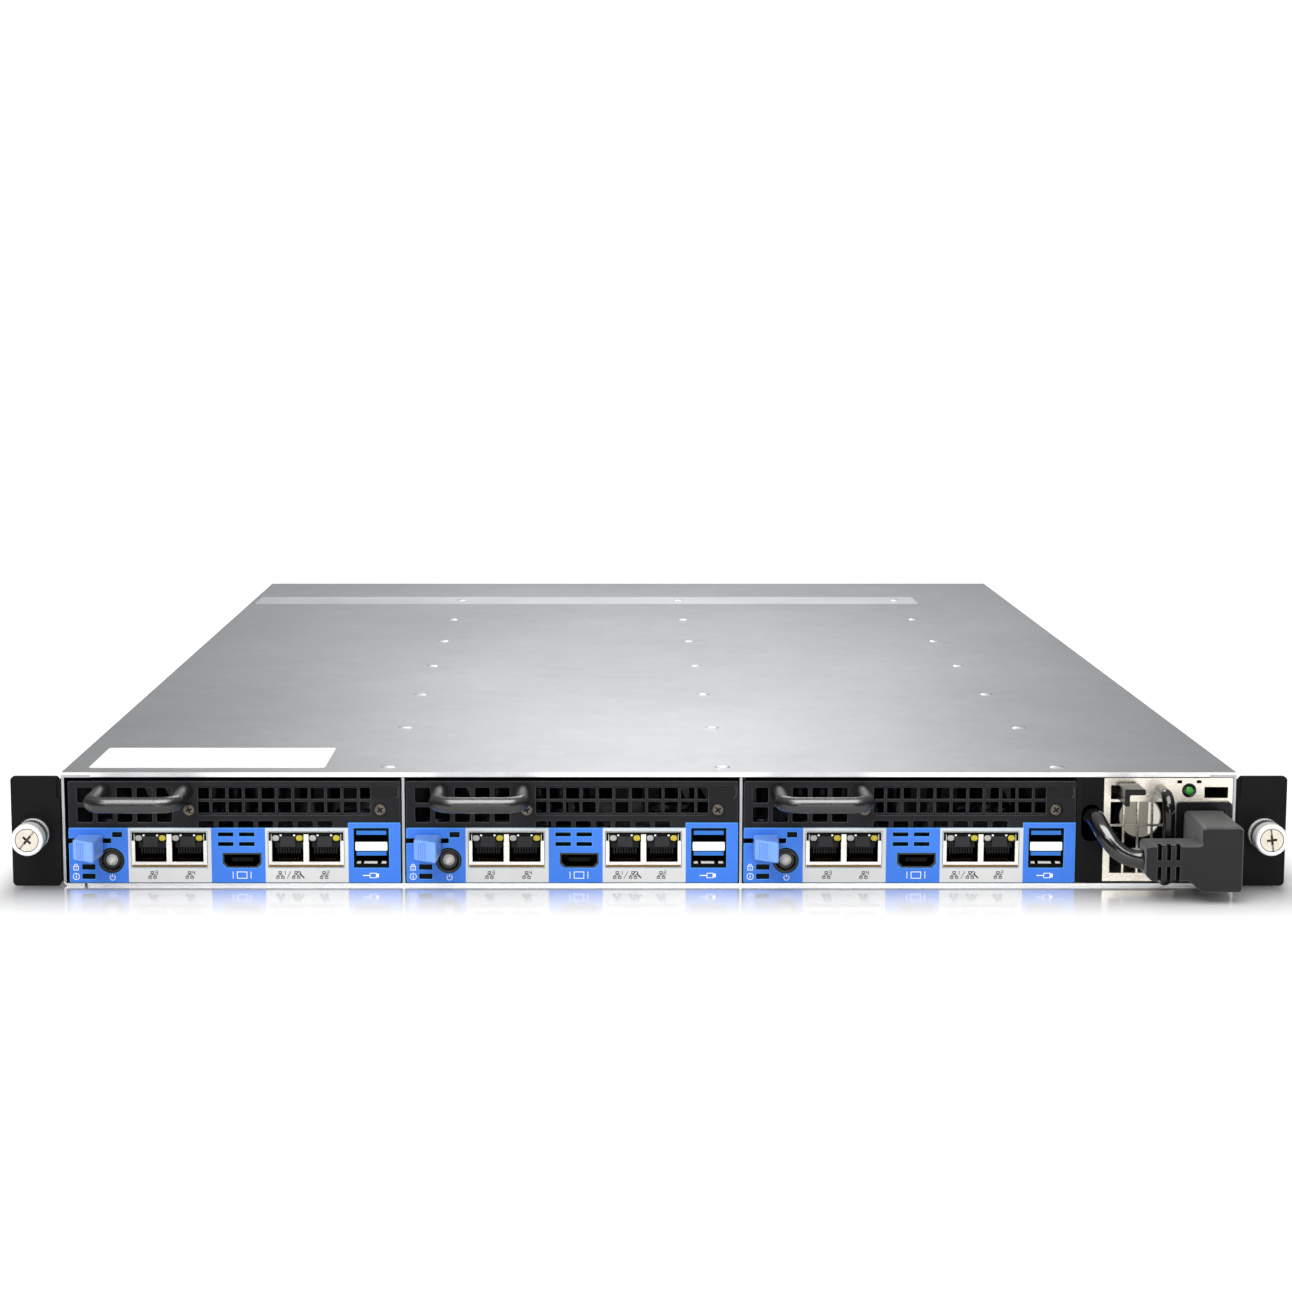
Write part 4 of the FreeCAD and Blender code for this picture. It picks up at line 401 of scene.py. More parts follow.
@dataclass(frozen=True)
class CircuitBoard(Finish):
    """Solder mask with darker bare laminate, thin traces and small bright pads."""

    trace: Colour = (0.05, 0.2, 0.08, 1.0)
    pad: Colour = (0.6, 0.5, 0.25, 1.0)
    field_size: float = 14.0
    field_stretch: Point = (1.0, 0.35, 1.0)
    lines: float = 26.0
    line_edge: Flat = (0.08, 0.14)
    dot_scale: float = 260.0
    dot_scatter: float = 0.75
    dot_edge: Flat = (0.10, 0.13)

    def tint(self, book: MaterialBook) -> bpy.types.NodeSocket:
        """Draw traces as thin level lines and pads as small dots.

        Args:
            book: the material's nodes.

        Returns:
            The socket of the board's colour.
        """
        field = book.noise(self.field_size, 1.0, self.field_stretch)
        bands = book.sum("FRACT", book.sum("MULTIPLY", field, self.lines), 0.0)
        offset = book.sum("ABSOLUTE", book.sum("SUBTRACT", bands, 0.5), 0.0)
        line = book.span(offset, 1.0, 0.0, *self.line_edge)
        colour = book.mix(line, self.colour, self.trace)
        cells = {"Vector": book.place, "Scale": self.dot_scale, "Randomness": self.dot_scatter}
        dots = book.add("ShaderNodeTexVoronoi", cells)
        dot = book.span(dots.outputs["Distance"], 1.0, 0.0, *self.dot_edge)
        return book.mix(dot, colour, self.pad)


@dataclass(frozen=True)
class PolishedFloor(Finish):
    """Pale floor whose polish shows close to the part and fades away from it."""

    across: Flat = (-236.0, 236.0)
    along: Flat = (-2.0, 648.0)
    fade: float = 80.0
    side_share: float = 3.0
    polish: float = 0.9

    def write(self, book: MaterialBook) -> None:
        """Mix a plain pale coat with a mirror coat by the distance from the part.

        Args:
            book: the material's nodes.
        """
        gaps = []
        for letter, (low, high) in (("X", self.across), ("Y", self.along)):
            place = book.axis(letter)
            under = book.sum("SUBTRACT", low * MM, place)
            over = book.sum("SUBTRACT", place, high * MM)
            gaps.append(book.sum("MAXIMUM", book.sum("MAXIMUM", under, over), 0.0))
        beside = book.sum("MULTIPLY", gaps[0], self.side_share)
        away = book.add("ShaderNodeCombineXYZ", {0: beside, 1: gaps[1]}).outputs[0]
        distance = book.add("ShaderNodeVectorMath", {0: away}, operation="LENGTH").outputs["Value"]
        near = book.span(distance, self.polish, 0.0, 0.0, self.fade * MM)
        share = book.sum("MULTIPLY", near, near)
        plain = book.add("ShaderNodeBsdfDiffuse", {"Color": self.clouded(book, self.colour)})
        mirror = book.add("ShaderNodeBsdfGlossy", {"Color": self.colour, "Roughness": self.roughness})
        mixed = book.add("ShaderNodeMixShader", {0: share, 1: plain.outputs[0], 2: mirror.outputs[0]})
        book.fill(book.end, {"Surface": mixed.outputs[0]})


# Sheet metal and coats of the chassis and the sleds.
COVER_ZINC = ZincSheet("cover_zinc", paint("c4c6c8"), 0.43, 1.0, cloud=0.05, cloud_size=90.0,
                       grain_size=0.45, relief=0.10, gloss_drift=0.05, soft_edge=0.25, edge_highlight_share=1.4)
# Much lighter zinc for the front-facing edges of the sheets: a painted highlight where they face the light.
LIT_HEM_ZINC = ZincSheet("lit_hem_zinc", paint("f8f8f8"), 0.4, 1.0, cloud=0.04, cloud_size=60.0, relief=0.06)
DIVIDER_ZINC = ZincSheet("divider_zinc", paint("b4b5b6"), 0.36, 1.0, cloud=0.05, cloud_size=20.0,
                         relief=0.06)
BODY_ZINC = ZincSheet("body_zinc", paint("b6b8ba"), 0.36, 1.0, cloud=0.06, cloud_size=70.0, relief=0.08,
                      soft_edge=0.2, edge_highlight_share=1.4)
RIVET_ZINC = Finish("rivet_zinc", paint("eceef0"), 0.34, 1.0, cloud=0.05, cloud_size=8.0, relief=0.05)
FACE_COAT = Finish("face_coat", paint("1c1c1e"), 0.52, specular=0.16, cloud=0.2, cloud_size=20.0,
                   grain_size=0.35, relief=0.16, soft_edge=0.45, edge_highlight_share=9.0)
EAR_COAT = Finish("ear_coat", paint("111011"), 0.5, specular=0.12, cloud=0.15, cloud_size=18.0,
                  grain_size=0.4, relief=0.18, soft_edge=0.3, edge_highlight_share=5.0)
FACE_FILM = Finish("face_film", paint("0e0e0f"), 0.3, specular=0.2, cloud=0.1, cloud_size=6.0, relief=0.03)
PANEL_PAINT = BlockPaint("panel_paint", paint("3874d6"), 0.42, specular=0.3, cloud=0.03, cloud_size=15.0,
                         grain_size=0.3, relief=0.05, soft_edge=0.45, edge_highlight_share=3.4, other=paint("c9c9c8"))

# Rods, tabs, latches and mouldings.
ROD_BLACK = Finish("rod_black", paint("0d0d0e"), 0.3, specular=0.8, cloud=0.12, cloud_size=8.0,
                   grain_size=0.35, relief=0.08)
TAB_BLUE = Glow("tab_blue", paint("6f9ced"), 0.36, coat=0.15, cloud=0.04, cloud_size=6.0, relief=0.03,
                soft_edge=0.3, edge_highlight_share=1.3)
SPRING_STEEL = Finish("spring_steel", paint("b9bbbd"), 0.32, 1.0, cloud=0.06, relief=0.06,
                      stretch=(1.0, 0.1, 1.0))
BLACK_PLASTIC = Finish("black_plastic", paint("0d0d0e"), 0.42, specular=0.3, cloud=0.12, cloud_size=12.0,
                       grain_size=0.4, relief=0.08, soft_edge=0.2, edge_highlight_share=2.0)
BLACK_GLOSS = Finish("black_gloss", paint("070708"), 0.13, specular=0.45, cloud=0.1, cloud_size=9.0,
                     relief=0.03, gloss_drift=0.03, soft_edge=0.3, edge_highlight_share=1.6)
INLET_GLOSS = Finish("inlet_gloss", paint("09090a"), 0.26, specular=0.25, cloud=0.1, cloud_size=8.0,
                     relief=0.04, gloss_drift=0.05, soft_edge=0.25, edge_highlight_share=2.0)
LATCH_SATIN = Finish("latch_satin", paint("0a0a0b"), 0.2, specular=0.25, cloud=0.1, cloud_size=8.0,
                     relief=0.04, gloss_drift=0.04, soft_edge=0.25, edge_highlight_share=14.0)

# Ports.
PORT_GREY = Finish("port_grey", paint("2b2b2d"), 0.5, specular=0.2, cloud=0.12, cloud_size=4.0, relief=0.05)
PORT_BLACK = Finish("port_black", paint("060607"), 0.55, specular=0.12, cloud=0.15, cloud_size=5.0,
                    relief=0.05)
JACK_SHELL = Finish("jack_shell", paint("f3f0e8"), 0.3, 1.0, cloud=0.05, cloud_size=7.0, relief=0.06,
                    stretch=(0.2, 1.0, 1.0), soft_edge=0.12, edge_highlight_share=1.2)
SHELL_EDGE = Finish("shell_edge", paint("7a6039"), 0.5, 0.5, cloud=0.15, cloud_size=3.0, relief=0.06)
# Near-white with a large diffuse share; on the data port web it stands in for the metal's shine, a painted
# highlight.
WEB_WHITE = Finish("web_white", paint("fafafa"), 0.3, 0.4, cloud=0.03, cloud_size=4.0, relief=0.03)
# Darkened metal for the video and data jack shells: painted shade.
SHADED_SHELL = Finish("shaded_shell", paint("4a4a4c"), 0.3, 1.0, cloud=0.06, cloud_size=6.0, relief=0.05,
                    soft_edge=0.12, edge_highlight_share=1.6)
TONGUE_BLUE = Finish("tongue_blue", paint("0c68be"), 0.35, coat=0.1, cloud=0.05, cloud_size=4.0,
                     relief=0.04)
BRASS = Finish("contact_brass", paint("6d5832"), 0.3, 1.0, cloud=0.06, cloud_size=3.0, relief=0.03)

# Power supply, thumbscrews and small screws.
PSU_NICKEL = Finish("psu_nickel", paint("f6efe0"), 0.3, 1.0, cloud=0.05, cloud_size=22.0, grain_size=0.4,
                    relief=0.06, stretch=(0.15, 1.0, 1.0), soft_edge=0.2, edge_highlight_share=1.1)
# Nickel cap and collar with a large diffuse white share: the white stands in for the metal's shine, a
# painted highlight.
THUMB_NICKEL_SHINE = Finish("thumb_nickel_shine", paint("f8f7f4"), 0.34, 0.4, cloud=0.04, cloud_size=5.0, relief=0.04,
                      soft_edge=0.15, edge_highlight_share=1.1)
THUMB_CREAM = Finish("thumb_cream", paint("e3dccd"), 0.3, 1.0, cloud=0.06, cloud_size=3.0, relief=0.05)
THUMB_KNURL = Finish("thumb_knurl", paint("8f8d89"), 0.36, 0.8, cloud=0.1, cloud_size=2.0, relief=0.08)
# Darker metal for the thumbscrews' groove and recess: painted shade.
RECESS_SHADE = Finish("recess_shade", paint("6e6558"), 0.5, 0.6, cloud=0.15, cloud_size=1.5, relief=0.05)
SCREW_STEEL = Finish("screw_steel", paint("a9a7a2"), 0.34, 1.0, cloud=0.08, cloud_size=2.0, relief=0.05)
SCREW_AGED = Finish("screw_aged", paint("6a635a"), 0.4, 0.9, cloud=0.15, cloud_size=1.5, relief=0.08)
SCREW_BLACK = Finish("screw_black", paint("1d1b19"), 0.36, 0.5, specular=0.3, cloud=0.1, cloud_size=2.0,
                     relief=0.06)

# Boards and what stands on them.
FIN_METAL = Finish("fin_metal", paint("c4c6c8"), 0.33, 1.0, cloud=0.05, cloud_size=25.0, relief=0.06,
                   stretch=(1.0, 0.08, 1.0), soft_edge=0.15, edge_highlight_share=1.3)
CHOKE_GREY = Finish("choke_grey", paint("55585b"), 0.55, cloud=0.1, cloud_size=3.0, grain_size=0.2,
                    relief=0.12, soft_edge=0.3, edge_highlight_share=1.4)
# White plastic of latches and sockets; on the port springs the same white is a painted reflection.
WHITE_PLASTIC_AND_SPRING_SHINE = Finish("white_plastic_and_spring_shine", paint("d8d6cf"), 0.4, cloud=0.05, cloud_size=6.0, soft_edge=0.2)
BOARD_GREEN = CircuitBoard("board_green", paint("0b3d22"), 0.32, specular=0.5, coat=0.2, cloud=0.1,
                           cloud_size=40.0, grain_size=0.3, relief=0.05, trace=paint("155c33"),
                           pad=paint("c9b26a"))
CHIP_BLACK = Finish("chip_black", paint("1b1c1e"), 0.5, cloud=0.1, cloud_size=4.0, grain_size=0.15,
                    relief=0.1)
SLEEVE = Finish("capacitor_sleeve", paint("20242b"), 0.35, cloud=0.1, cloud_size=4.0, coat=0.1)
CAN_METAL = Finish("can_metal", paint("d5d7d9"), 0.25, 1.0, cloud=0.05, cloud_size=3.0)

# Plug and lead.
PLUG_RUBBER = Finish("plug_rubber", paint("121214"), 0.46, specular=0.28, sheen=0.22, cloud=0.12,
                     cloud_size=9.0, grain_size=0.35, relief=0.2, soft_edge=0.6, edge_highlight_share=14.0)
# Lighter rubber for the plug's rounded upper front edge: a painted highlight.
PLUG_EDGE_HIGHLIGHT = Finish("plug_edge_highlight", paint("4c4c4f"), 0.4, specular=0.35, cloud=0.15, cloud_size=4.0, relief=0.1)
CORD_RUBBER = Finish("cord_rubber", paint("060607"), 0.16, specular=0.8, cloud=0.1, cloud_size=8.0,
                     grain_size=0.6, relief=0.04, gloss_drift=0.03)

# Labels, ink, lenses, hubs and the floor.
LABEL_PAPER = Finish("label_paper", paint("f1f1ef"), 0.45, cloud=0.02, cloud_size=14.0, grain_size=0.25,
                     relief=0.05)
FILM = Finish("film_strip", paint("f6f7f8"), 0.42, 1.0, cloud=0.05, cloud_size=40.0, grain_size=0.5,
              relief=0.06)
PRINT_WHITE = Finish("print_white", paint("f3f6fa"), 0.5, cloud=0.03, cloud_size=2.0, grain_size=0.15)
PRINT_DARK = Finish("print_dark", paint("161618"), 0.5, cloud=0.06, cloud_size=2.0, grain_size=0.15)
LENS_FROST = Lens("lens_frost", paint("b9b9b4"), 0.35, coat=0.2, cloud=0.05, cloud_size=1.5, clear=0.25)
LENS_YELLOW = Lens("lens_yellow", paint("c7b61e"), 0.3, coat=0.3, cloud=0.06, cloud_size=1.5, clear=0.2)
LENS_GREEN = Lens("lens_green", paint("2f9a2c"), 0.16, coat=0.5, cloud=0.08, cloud_size=1.2, clear=0.2)
LENS_CLEAR = Lens("lens_clear", paint("e6e3dc"), 0.12, coat=0.6, cloud=0.05, cloud_size=1.5, clear=0.25)
LENS_SMOKE = Lens("lens_smoke", paint("030304"), 0.35, specular=0.06, cloud=0.1, cloud_size=2.0, clear=0.1)
HUB_DISC = Finish("hub_disc", paint("928c80"), 0.45, cloud=0.08, cloud_size=7.0, grain_size=0.3)
HUB_PALE = Finish("hub_pale", paint("fdfbf0"), 0.42, cloud=0.03, cloud_size=7.0, grain_size=0.3)
FLOOR_PALE = PolishedFloor("floor_pale", paint("f6f6f6"), 0.1, cloud=0.01, cloud_size=400.0)


def moved(span: Flat, by: float) -> Flat:
    """A span moved along by some length."""
    return (span[0] + by, span[1] + by)


def about(middle: float, half: float) -> Flat:
    """A span of some half width about a middle."""
    return (middle - half, middle + half)


def row(start: float, pitch: float, count: int) -> list[float]:
    """Evenly spaced places along a line."""
    return [start + number * pitch for number in range(count)]


def rect(a: Flat, b: Flat, height: float) -> Ring:
    """Corners of a rectangle between two rights and two ups, all at one height."""
    return [(a[0], b[0], height), (a[1], b[0], height), (a[1], b[1], height), (a[0], b[1], height)]


def sweep(middle: Flat, reach: float, turn: Flat, steps: int) -> list[Flat]:
    """Points along an arc between two angles in degrees."""
    angles = [math.radians(turn[0] + (turn[1] - turn[0]) * step / steps) for step in range(steps + 1)]
    return [(middle[0] + reach * math.cos(angle), middle[1] + reach * math.sin(angle)) for angle in angles]


def ring_of(middle: Flat, reaches: Sequence[float], height: float) -> Ring:
    """Points round an axis at given reaches, all at one height.

    Args:
        middle: place of the axis.
        reaches: distance of each point from the axis.
        height: the height they share.

    Returns:
        The points in order.
    """
    ring = []
    for step, reach in enumerate(reaches):
        angle = 2 * math.pi * step / len(reaches)
        ring.append((middle[0] + reach * math.cos(angle), middle[1] + reach * math.sin(angle), height))
    return ring


def obround(a: Flat, b: Flat, steps: int = 6) -> list[Flat]:
    """Outline of a slot with round ends.

    Args:
        a: its left and right ends.
        b: its lower and upper edges.
        steps: straight bits in each round end.

    Returns:
        The outline's points.
    """
    radius = (b[1] - b[0]) / 2
    mid = (b[0] + b[1]) / 2
    right = sweep((a[1] - radius, mid), radius, (-90, 90), steps)
    return right + sweep((a[0] + radius, mid), radius, (90, 270), steps)


def rounded(a: Flat, b: Flat, radius: float, steps: int = 5) -> list[Flat]:
    """Outline of a rectangle with round corners.

    Args:
        a: its left and right edges.
        b: its lower and upper edges.
        radius: radius of its corners.
        steps: straight bits in each corner.

    Returns:
        The outline's points.
    """
    left, right = a[0] + radius, a[1] - radius
    low, high = b[0] + radius, b[1] - radius
    outline = []
    for middle, start in (((right, high), 0), ((left, high), 90), ((left, low), 180), ((right, low), 270)):
        outline += sweep(middle, radius, (start, start + 90), steps)
    return outline


def put(name: str, data: bpy.types.ID) -> bpy.types.Object:
    """Put a new object into the scene.

    Args:
        name: the object's name.
        data: its mesh, curve, light or camera.

    Returns:
        The new object.
    """
    thing = bpy.data.objects.new(name, data)
    bpy.context.scene.collection.objects.link(thing)
    return thing


class Facing(Enum):
    """Side that a piece faces: its right, up and outward directions."""

    FRONT = ((1, 0, 0), (0, 0, 1), (0, -1, 0))
    REAR = ((-1, 0, 0), (0, 0, 1), (0, 1, 0))
    LEFT = ((0, -1, 0), (0, 0, 1), (-1, 0, 0))
    RIGHT = ((0, 1, 0), (0, 0, 1), (1, 0, 0))
    TOP = ((1, 0, 0), (0, 1, 0), (0, 0, 1))


class Shape:
    """One mesh piece made of closed solids, drawn on a side of the part in millimetres."""

    def __init__(self, name: str, facing: Facing, origin: Sequence[float], *finishes: Finish) -> None:
        """Start an empty piece.

        Args:
            name: the piece's name.
            facing: the side it is drawn on.
            origin: zero point of the drawing, in the part's frame.
            finishes: the piece's finishes, picked by number as solids are added.
        """
        self.name = name
        self.right, self.up, self.out = (Vector(direction) for direction in facing.value)
        self.origin = Vector(origin)
        self.finishes = finishes
        self.points: list[Vector] = []
        self.faces: list[list[int]] = []
        self.coats: list[int] = []

    def loft(self, rings: Sequence[Ring], coat: int = 0, loop: bool = False) -> None:
        """Join rings of points to one closed solid.

        Args:
            rings: rings of equal length, each point (right, up, out).
            coat: number of the finish.
            loop: whether the last ring joins the first, in place of two end caps.
        """
        start = len(self.points)
        count = len(rings[0])
        for ring in rings:
            for a, b, c in ring:
                place = self.origin + self.right * a + self.up * b + self.out * c
                self.points.append(place * MM)
        faces = []
        for step in range(len(rings) if loop else len(rings) - 1):
            low = start + step * count
            high = start + (step + 1) % len(rings) * count
            for k in range(count):
                n = (k + 1) % count
                faces.append([low + k, low + n, high + n, high + k])
        if not loop:
            faces.append([start + k for k in reversed(range(count))])
            faces.append([start + (len(rings) - 1) * count + k for k in range(count)])
        self.faces += faces
        self.coats += [coat] * len(faces)

    def prism(self, outline: Sequence[Flat], low: float, high: float, coat: int = 0) -> None:
        """Raise a flat outline from one height to another."""
        self.loft([[(a, b, low) for a, b in outline], [(a, b, high) for a, b in outline]], coat)

    def box(self, a: Flat, b: Flat, c: Flat, coat: int = 0) -> None:
        """Add a block between two rights, two ups and two heights."""
        self.loft([rect(a, b, c[0]), rect(a, b, c[1])], coat)

    def bar(self, start: Flat, stop: Flat, width: float, c: Flat, coat: int = 0) -> None:
        """Add a straight stroke.

        Args:
            start: where it starts.
            stop: where it stops.
            width: its width.
            c: its back and front.
            coat: number of the finish.
        """
        along = Vector(stop) - Vector(start)
        side = Vector((-along.y, along.x)).normalized() * width / 2
        ends = [Vector(start) + side, Vector(start) - side, Vector(stop) - side, Vector(stop) + side]
        self.prism([(p.x, p.y) for p in ends], c[0], c[1], coat)

    def arc(self, middle: Flat, radius: float, width: float, turn: Flat, c: Flat, coat: int = 0) -> None:
        """Add a curved stroke.

        Args:
            middle: middle of its circle.
            radius: radius of its middle line.
            width: its width.
            turn: angles in degrees where it starts and stops.
            c: its back and front.
            coat: number of the finish.
        """
        steps = max(4, int(abs(turn[1] - turn[0]) / ARC_STEP))
        outer = sweep(middle, radius + width / 2, turn, steps)
        inner = sweep(middle, radius - width / 2, turn, steps)
        self.prism(outer + inner[::-1], c[0], c[1], coat)

    def turned(self, middle: Flat, profile: Sequence[Flat], coat: int = 0, steps: int = 28,
               loop: bool = False) -> None:
        """Add a turned solid.

        Args:
            middle: place of its axis.
            profile: radius and height of each ring, in order.
            coat: number of the finish.
            steps: points round a ring.
            loop: whether the profile closes on itself, as a washer's does.
        """
        self.loft([ring_of(middle, [radius] * steps, height) for radius, height in profile], coat, loop)

    def cross_screw(self, middle: Flat, radius: float, rise: float, turn: float = 0.0, coat: int = 0,
                    recess: int | None = None) -> None:
        """Add a low screw head with a cross recess.

        Args:
            middle: place of its axis.
            radius: radius of the head.
            rise: height of the head.
            turn: angle of the cross in degrees.
            coat: number of the head's finish.
            recess: number of the recess's finish, if it has its own.
        """
        steps = SCREW_STEPS
        arm = radius * SCREW_ARM
        half = radius * SCREW_CUT
        cross = []
        for step in range(steps):
            angle = 2 * math.pi * step / steps - math.radians(turn)
            along = max(abs(math.cos(angle)), NO_ZERO)
            across = max(abs(math.sin(angle)), NO_ZERO)
            cross.append(max(min(arm / along, half / across), min(arm / across, half / along)))
        rings = [ring_of(middle, [radius * share] * steps, rise * height) for share, height in SCREW_HEAD]
        rings.append(ring_of(middle, cross, rise))
        rings.append(ring_of(middle, [reach * SCREW_TAPER for reach in cross], rise * SCREW_FLOOR))
        self.loft(rings, coat)
        if recess is not None:
            self.coats[-2 - steps:-2] = [recess] * steps
            self.coats[-1] = recess

    def build(self, body: str, slot: str, bevel: float = 0.0) -> bpy.types.Object:
        """Turn the solids into an object that rides on a body.

        Args:
            body: name of the body that carries the piece.
            slot: the record's material slot it belongs to; not used.
            bevel: width of its rounded edges.

        Returns:
            The new object.
        """
        mesh = bpy.data.meshes.new(self.name)
        mesh.from_pydata(self.points, [], self.faces)
        for finish in self.finishes:
            mesh.materials.append(finish.material())
        mesh.polygons.foreach_set("material_index", self.coats)
        work = bmesh.new()
        work.from_mesh(mesh)
        bmesh.ops.recalc_face_normals(work, faces=work.faces)
        work.to_mesh(mesh)
        work.free()
        mesh.shade_smooth()
        mesh.set_sharp_from_angle(angle=math.radians(SHARP_FROM))
        piece = put(self.name, mesh)
        if bevel:
            soft = piece.modifiers.new("soft_edges", "BEVEL")
            soft.width = bevel * MM
            soft.segments = ROUND_STEPS
            soft.limit_method = "ANGLE"
            soft.angle_limit = math.radians(ROUND_FROM)
        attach(piece, body)
        return piece


def dress(node: str, finish: Finish, *others: tuple[Finish, Rule]) -> None:
    """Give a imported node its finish, and other finishes to the faces that a rule picks.

    Args:
        node: name of the node.
        finish: finish of every face that no rule picks.
        others: finishes with the rule on a face's middle in millimetres and its normal.
    """
    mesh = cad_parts[node].data
    mesh.materials.clear()
    mesh.materials.append(finish.material())
    for number, (other, rule) in enumerate(others, 1):
        mesh.materials.append(other.material())
        for face in mesh.polygons:
            if rule(face.center / MM, face.normal):
                face.material_index = number


def dress_plain(finishes: dict[str, Finish]) -> None:
    """Give each named node one finish all over."""
    for node, finish in finishes.items():
        dress(node, finish)


def inside(place: Vector, *spans: Flat) -> bool:
    """Whether a place lies between the limits given along X, Y and Z."""
    return all(low <= value <= high for value, (low, high) in zip(place, spans))


def to_front(normal: Vector) -> bool:
    """Whether a face looks to the front."""
    return normal.y < -0.5


def axis_of(node: str) -> Flat:
    """Middle of a node's box, across and up, in millimetres."""
    low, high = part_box(node)
    return ((low.x + high.x) / 2 / MM, (low.z + high.z) / 2 / MM)


def off_axis(place: Vector, axis: Flat) -> float:
    """Distance of a place from an axis that runs from front to back."""
    return math.hypot(place.x - axis[0], place.z - axis[1])


def shifted(zero: Flat, place: Flat) -> Flat:
    """Where a point of a sign lies on the piece that carries the sign."""
    return (zero[0] + place[0], zero[1] + place[1])


@dataclass(frozen=True)
class Bar:
    """Straight stroke of a sign."""

    start: Flat
    stop: Flat
    line: float = 0.22

    def draw(self, shape: Shape, zero: Flat, c: Flat, coat: int) -> None:
        """Raise the stroke on a piece."""
        shape.bar(shifted(zero, self.start), shifted(zero, self.stop), self.line, c, coat)


@dataclass(frozen=True)
class Arc:
    """Curved stroke of a sign."""

    middle: Flat
    radius: float
    turn: Flat
    line: float = 0.22

    def draw(self, shape: Shape, zero: Flat, c: Flat, coat: int) -> None:
        """Raise the stroke on a piece."""
        shape.arc(shifted(zero, self.middle), self.radius, self.line, self.turn, c, coat)


@dataclass(frozen=True)
class Block:
    """Filled rectangle of a sign, between two rights and two ups."""

    a: Flat
    b: Flat

    def draw(self, shape: Shape, zero: Flat, c: Flat, coat: int) -> None:
        """Raise the rectangle on a piece."""
        shape.box(moved(self.a, zero[0]), moved(self.b, zero[1]), c, coat)


@dataclass(frozen=True)
class Outline:
    """Rectangle of a sign, drawn as a line round it."""

    middle: Flat
    size: Flat
    line: float = 0.22

    def draw(self, shape: Shape, zero: Flat, c: Flat, coat: int) -> None:
        """Raise the line on a piece.

        Args:
            shape: the piece that takes it.
            zero: the sign's zero point on the piece.
            c: back and front of the print.
            coat: number of the ink's finish.
        """
        x, z = shifted(zero, self.middle)
        rings = []
        for shrink, height in ((0.0, c[0]), (0.0, c[1]), (self.line, c[1]), (self.line, c[0])):
            across = about(x, self.size[0] / 2 - shrink)
            rings.append(rect(across, about(z, self.size[1] / 2 - shrink), height))
        shape.loft(rings, coat, loop=True)


class Icon(Enum):
    """Plain signs and numerals printed beside the ports, each a list of strokes from its zero point."""

    LOCK = (Outline((0.0, -0.55), (2.0, 1.7)), Arc((0.0, 0.35), 0.62, (0, 180)),
            Bar((0.0, -0.85), (0.0, -0.35)))
    NOTE = (Arc((0.0, 0.0), 1.2, (0, 360)), Bar((0.0, -0.65), (0.0, 0.15), 0.3),
            Bar((0.0, 0.4), (0.0, 0.7), 0.3))
    POWER = (Arc((0.0, 0.0), 1.0, (125, 415)), Bar((0.0, 0.1), (0.0, 1.3)))
    NETWORK = (Outline((0.0, 0.95), (1.25, 1.0), 0.27), Outline((-0.95, -0.95), (1.25, 1.0), 0.27),
               Outline((0.95, -0.95), (1.25, 1.0), 0.27), Bar((0.0, 0.5), (0.0, 0.0), 0.27),
               Bar((-0.95, 0.0), (0.95, 0.0), 0.27), Bar((-0.95, 0.0), (-0.95, -0.5), 0.27),
               Bar((0.95, 0.0), (0.95, -0.5), 0.27))
    SCREEN = (Outline((0.0, 0.0), (3.9, 2.7), 0.24), Bar((-3.4, -1.35), (-3.4, 1.35), 0.24),
              Bar((3.4, -1.35), (3.4, 1.35), 0.24))
    PLUG = (Outline((0.9, 0.0), (2.6, 2.0), 0.24), Block((2.2, 3.1), (-0.7, 0.7)),
            Bar((-0.4, 0.0), (-3.0, 0.0), 0.34))
    TOOL = (Bar((-0.9, 0.9), (0.8, -0.8), 0.5), Arc((-1.1, 1.1), 0.6, (-80, 170), 0.32))
    SLASH = (Bar((-0.7, -1.4), (0.7, 1.4)),)
    ONE = (Bar((0.8, 0.0), (0.8, 0.75)), Bar((0.8, 0.75), (0.8, 1.5)))
    TWO = (Bar((0.0, 0.0), (0.8, 0.0)), Bar((0.0, 0.75), (0.8, 0.75)), Bar((0.0, 1.5), (0.8, 1.5)),
           Bar((0.8, 0.75), (0.8, 1.5)), Bar((0.0, 0.0), (0.0, 0.75)))
    THREE = (Bar((0.0, 0.0), (0.8, 0.0)), Bar((0.0, 0.75), (0.8, 0.75)), Bar((0.0, 1.5), (0.8, 1.5)),
             Bar((0.8, 0.0), (0.8, 0.75)), Bar((0.8, 0.75), (0.8, 1.5)))
    FOUR = (Bar((0.0, 0.75), (0.8, 0.75)), Bar((0.8, 0.0), (0.8, 0.75)), Bar((0.8, 0.75), (0.8, 1.5)),
            Bar((0.0, 0.75), (0.0, 1.5)))

    def draw(self, shape: Shape, zero: Flat, c: Flat, coat: int) -> None:
        """Draw the sign as raised print."""
        for stroke in self.value:
            stroke.draw(shape, zero, c, coat)


@dataclass
class SledPart:
    """What every part of a sled knows: which sled it is, and where its front lies."""

    number: int
    first_left: float = -219.6
    pitch: float = 127.8
    width: float = 125.6
    io_front: float = -2.8
    face_front: float = -2.0

    @property
    def left(self) -> float:
        """Left edge of the sled's front."""
        return self.first_left + (self.number - 1) * self.pitch

    @property
    def body(self) -> str:
        """Name of the body that carries the sled."""
        return f"sled_{self.number}"

    def node(self, part: str) -> str:
        """Name of one of the sled's nodes or pieces."""
        return f"sled_{self.number}_{part}"

    def shape(self, part: str, depth: float, *finishes: Finish) -> Shape:
        """Start a piece drawn on the sled's front at some depth."""
        return Shape(self.node(part), Facing.FRONT, (self.left, depth, 0.0), *finishes)


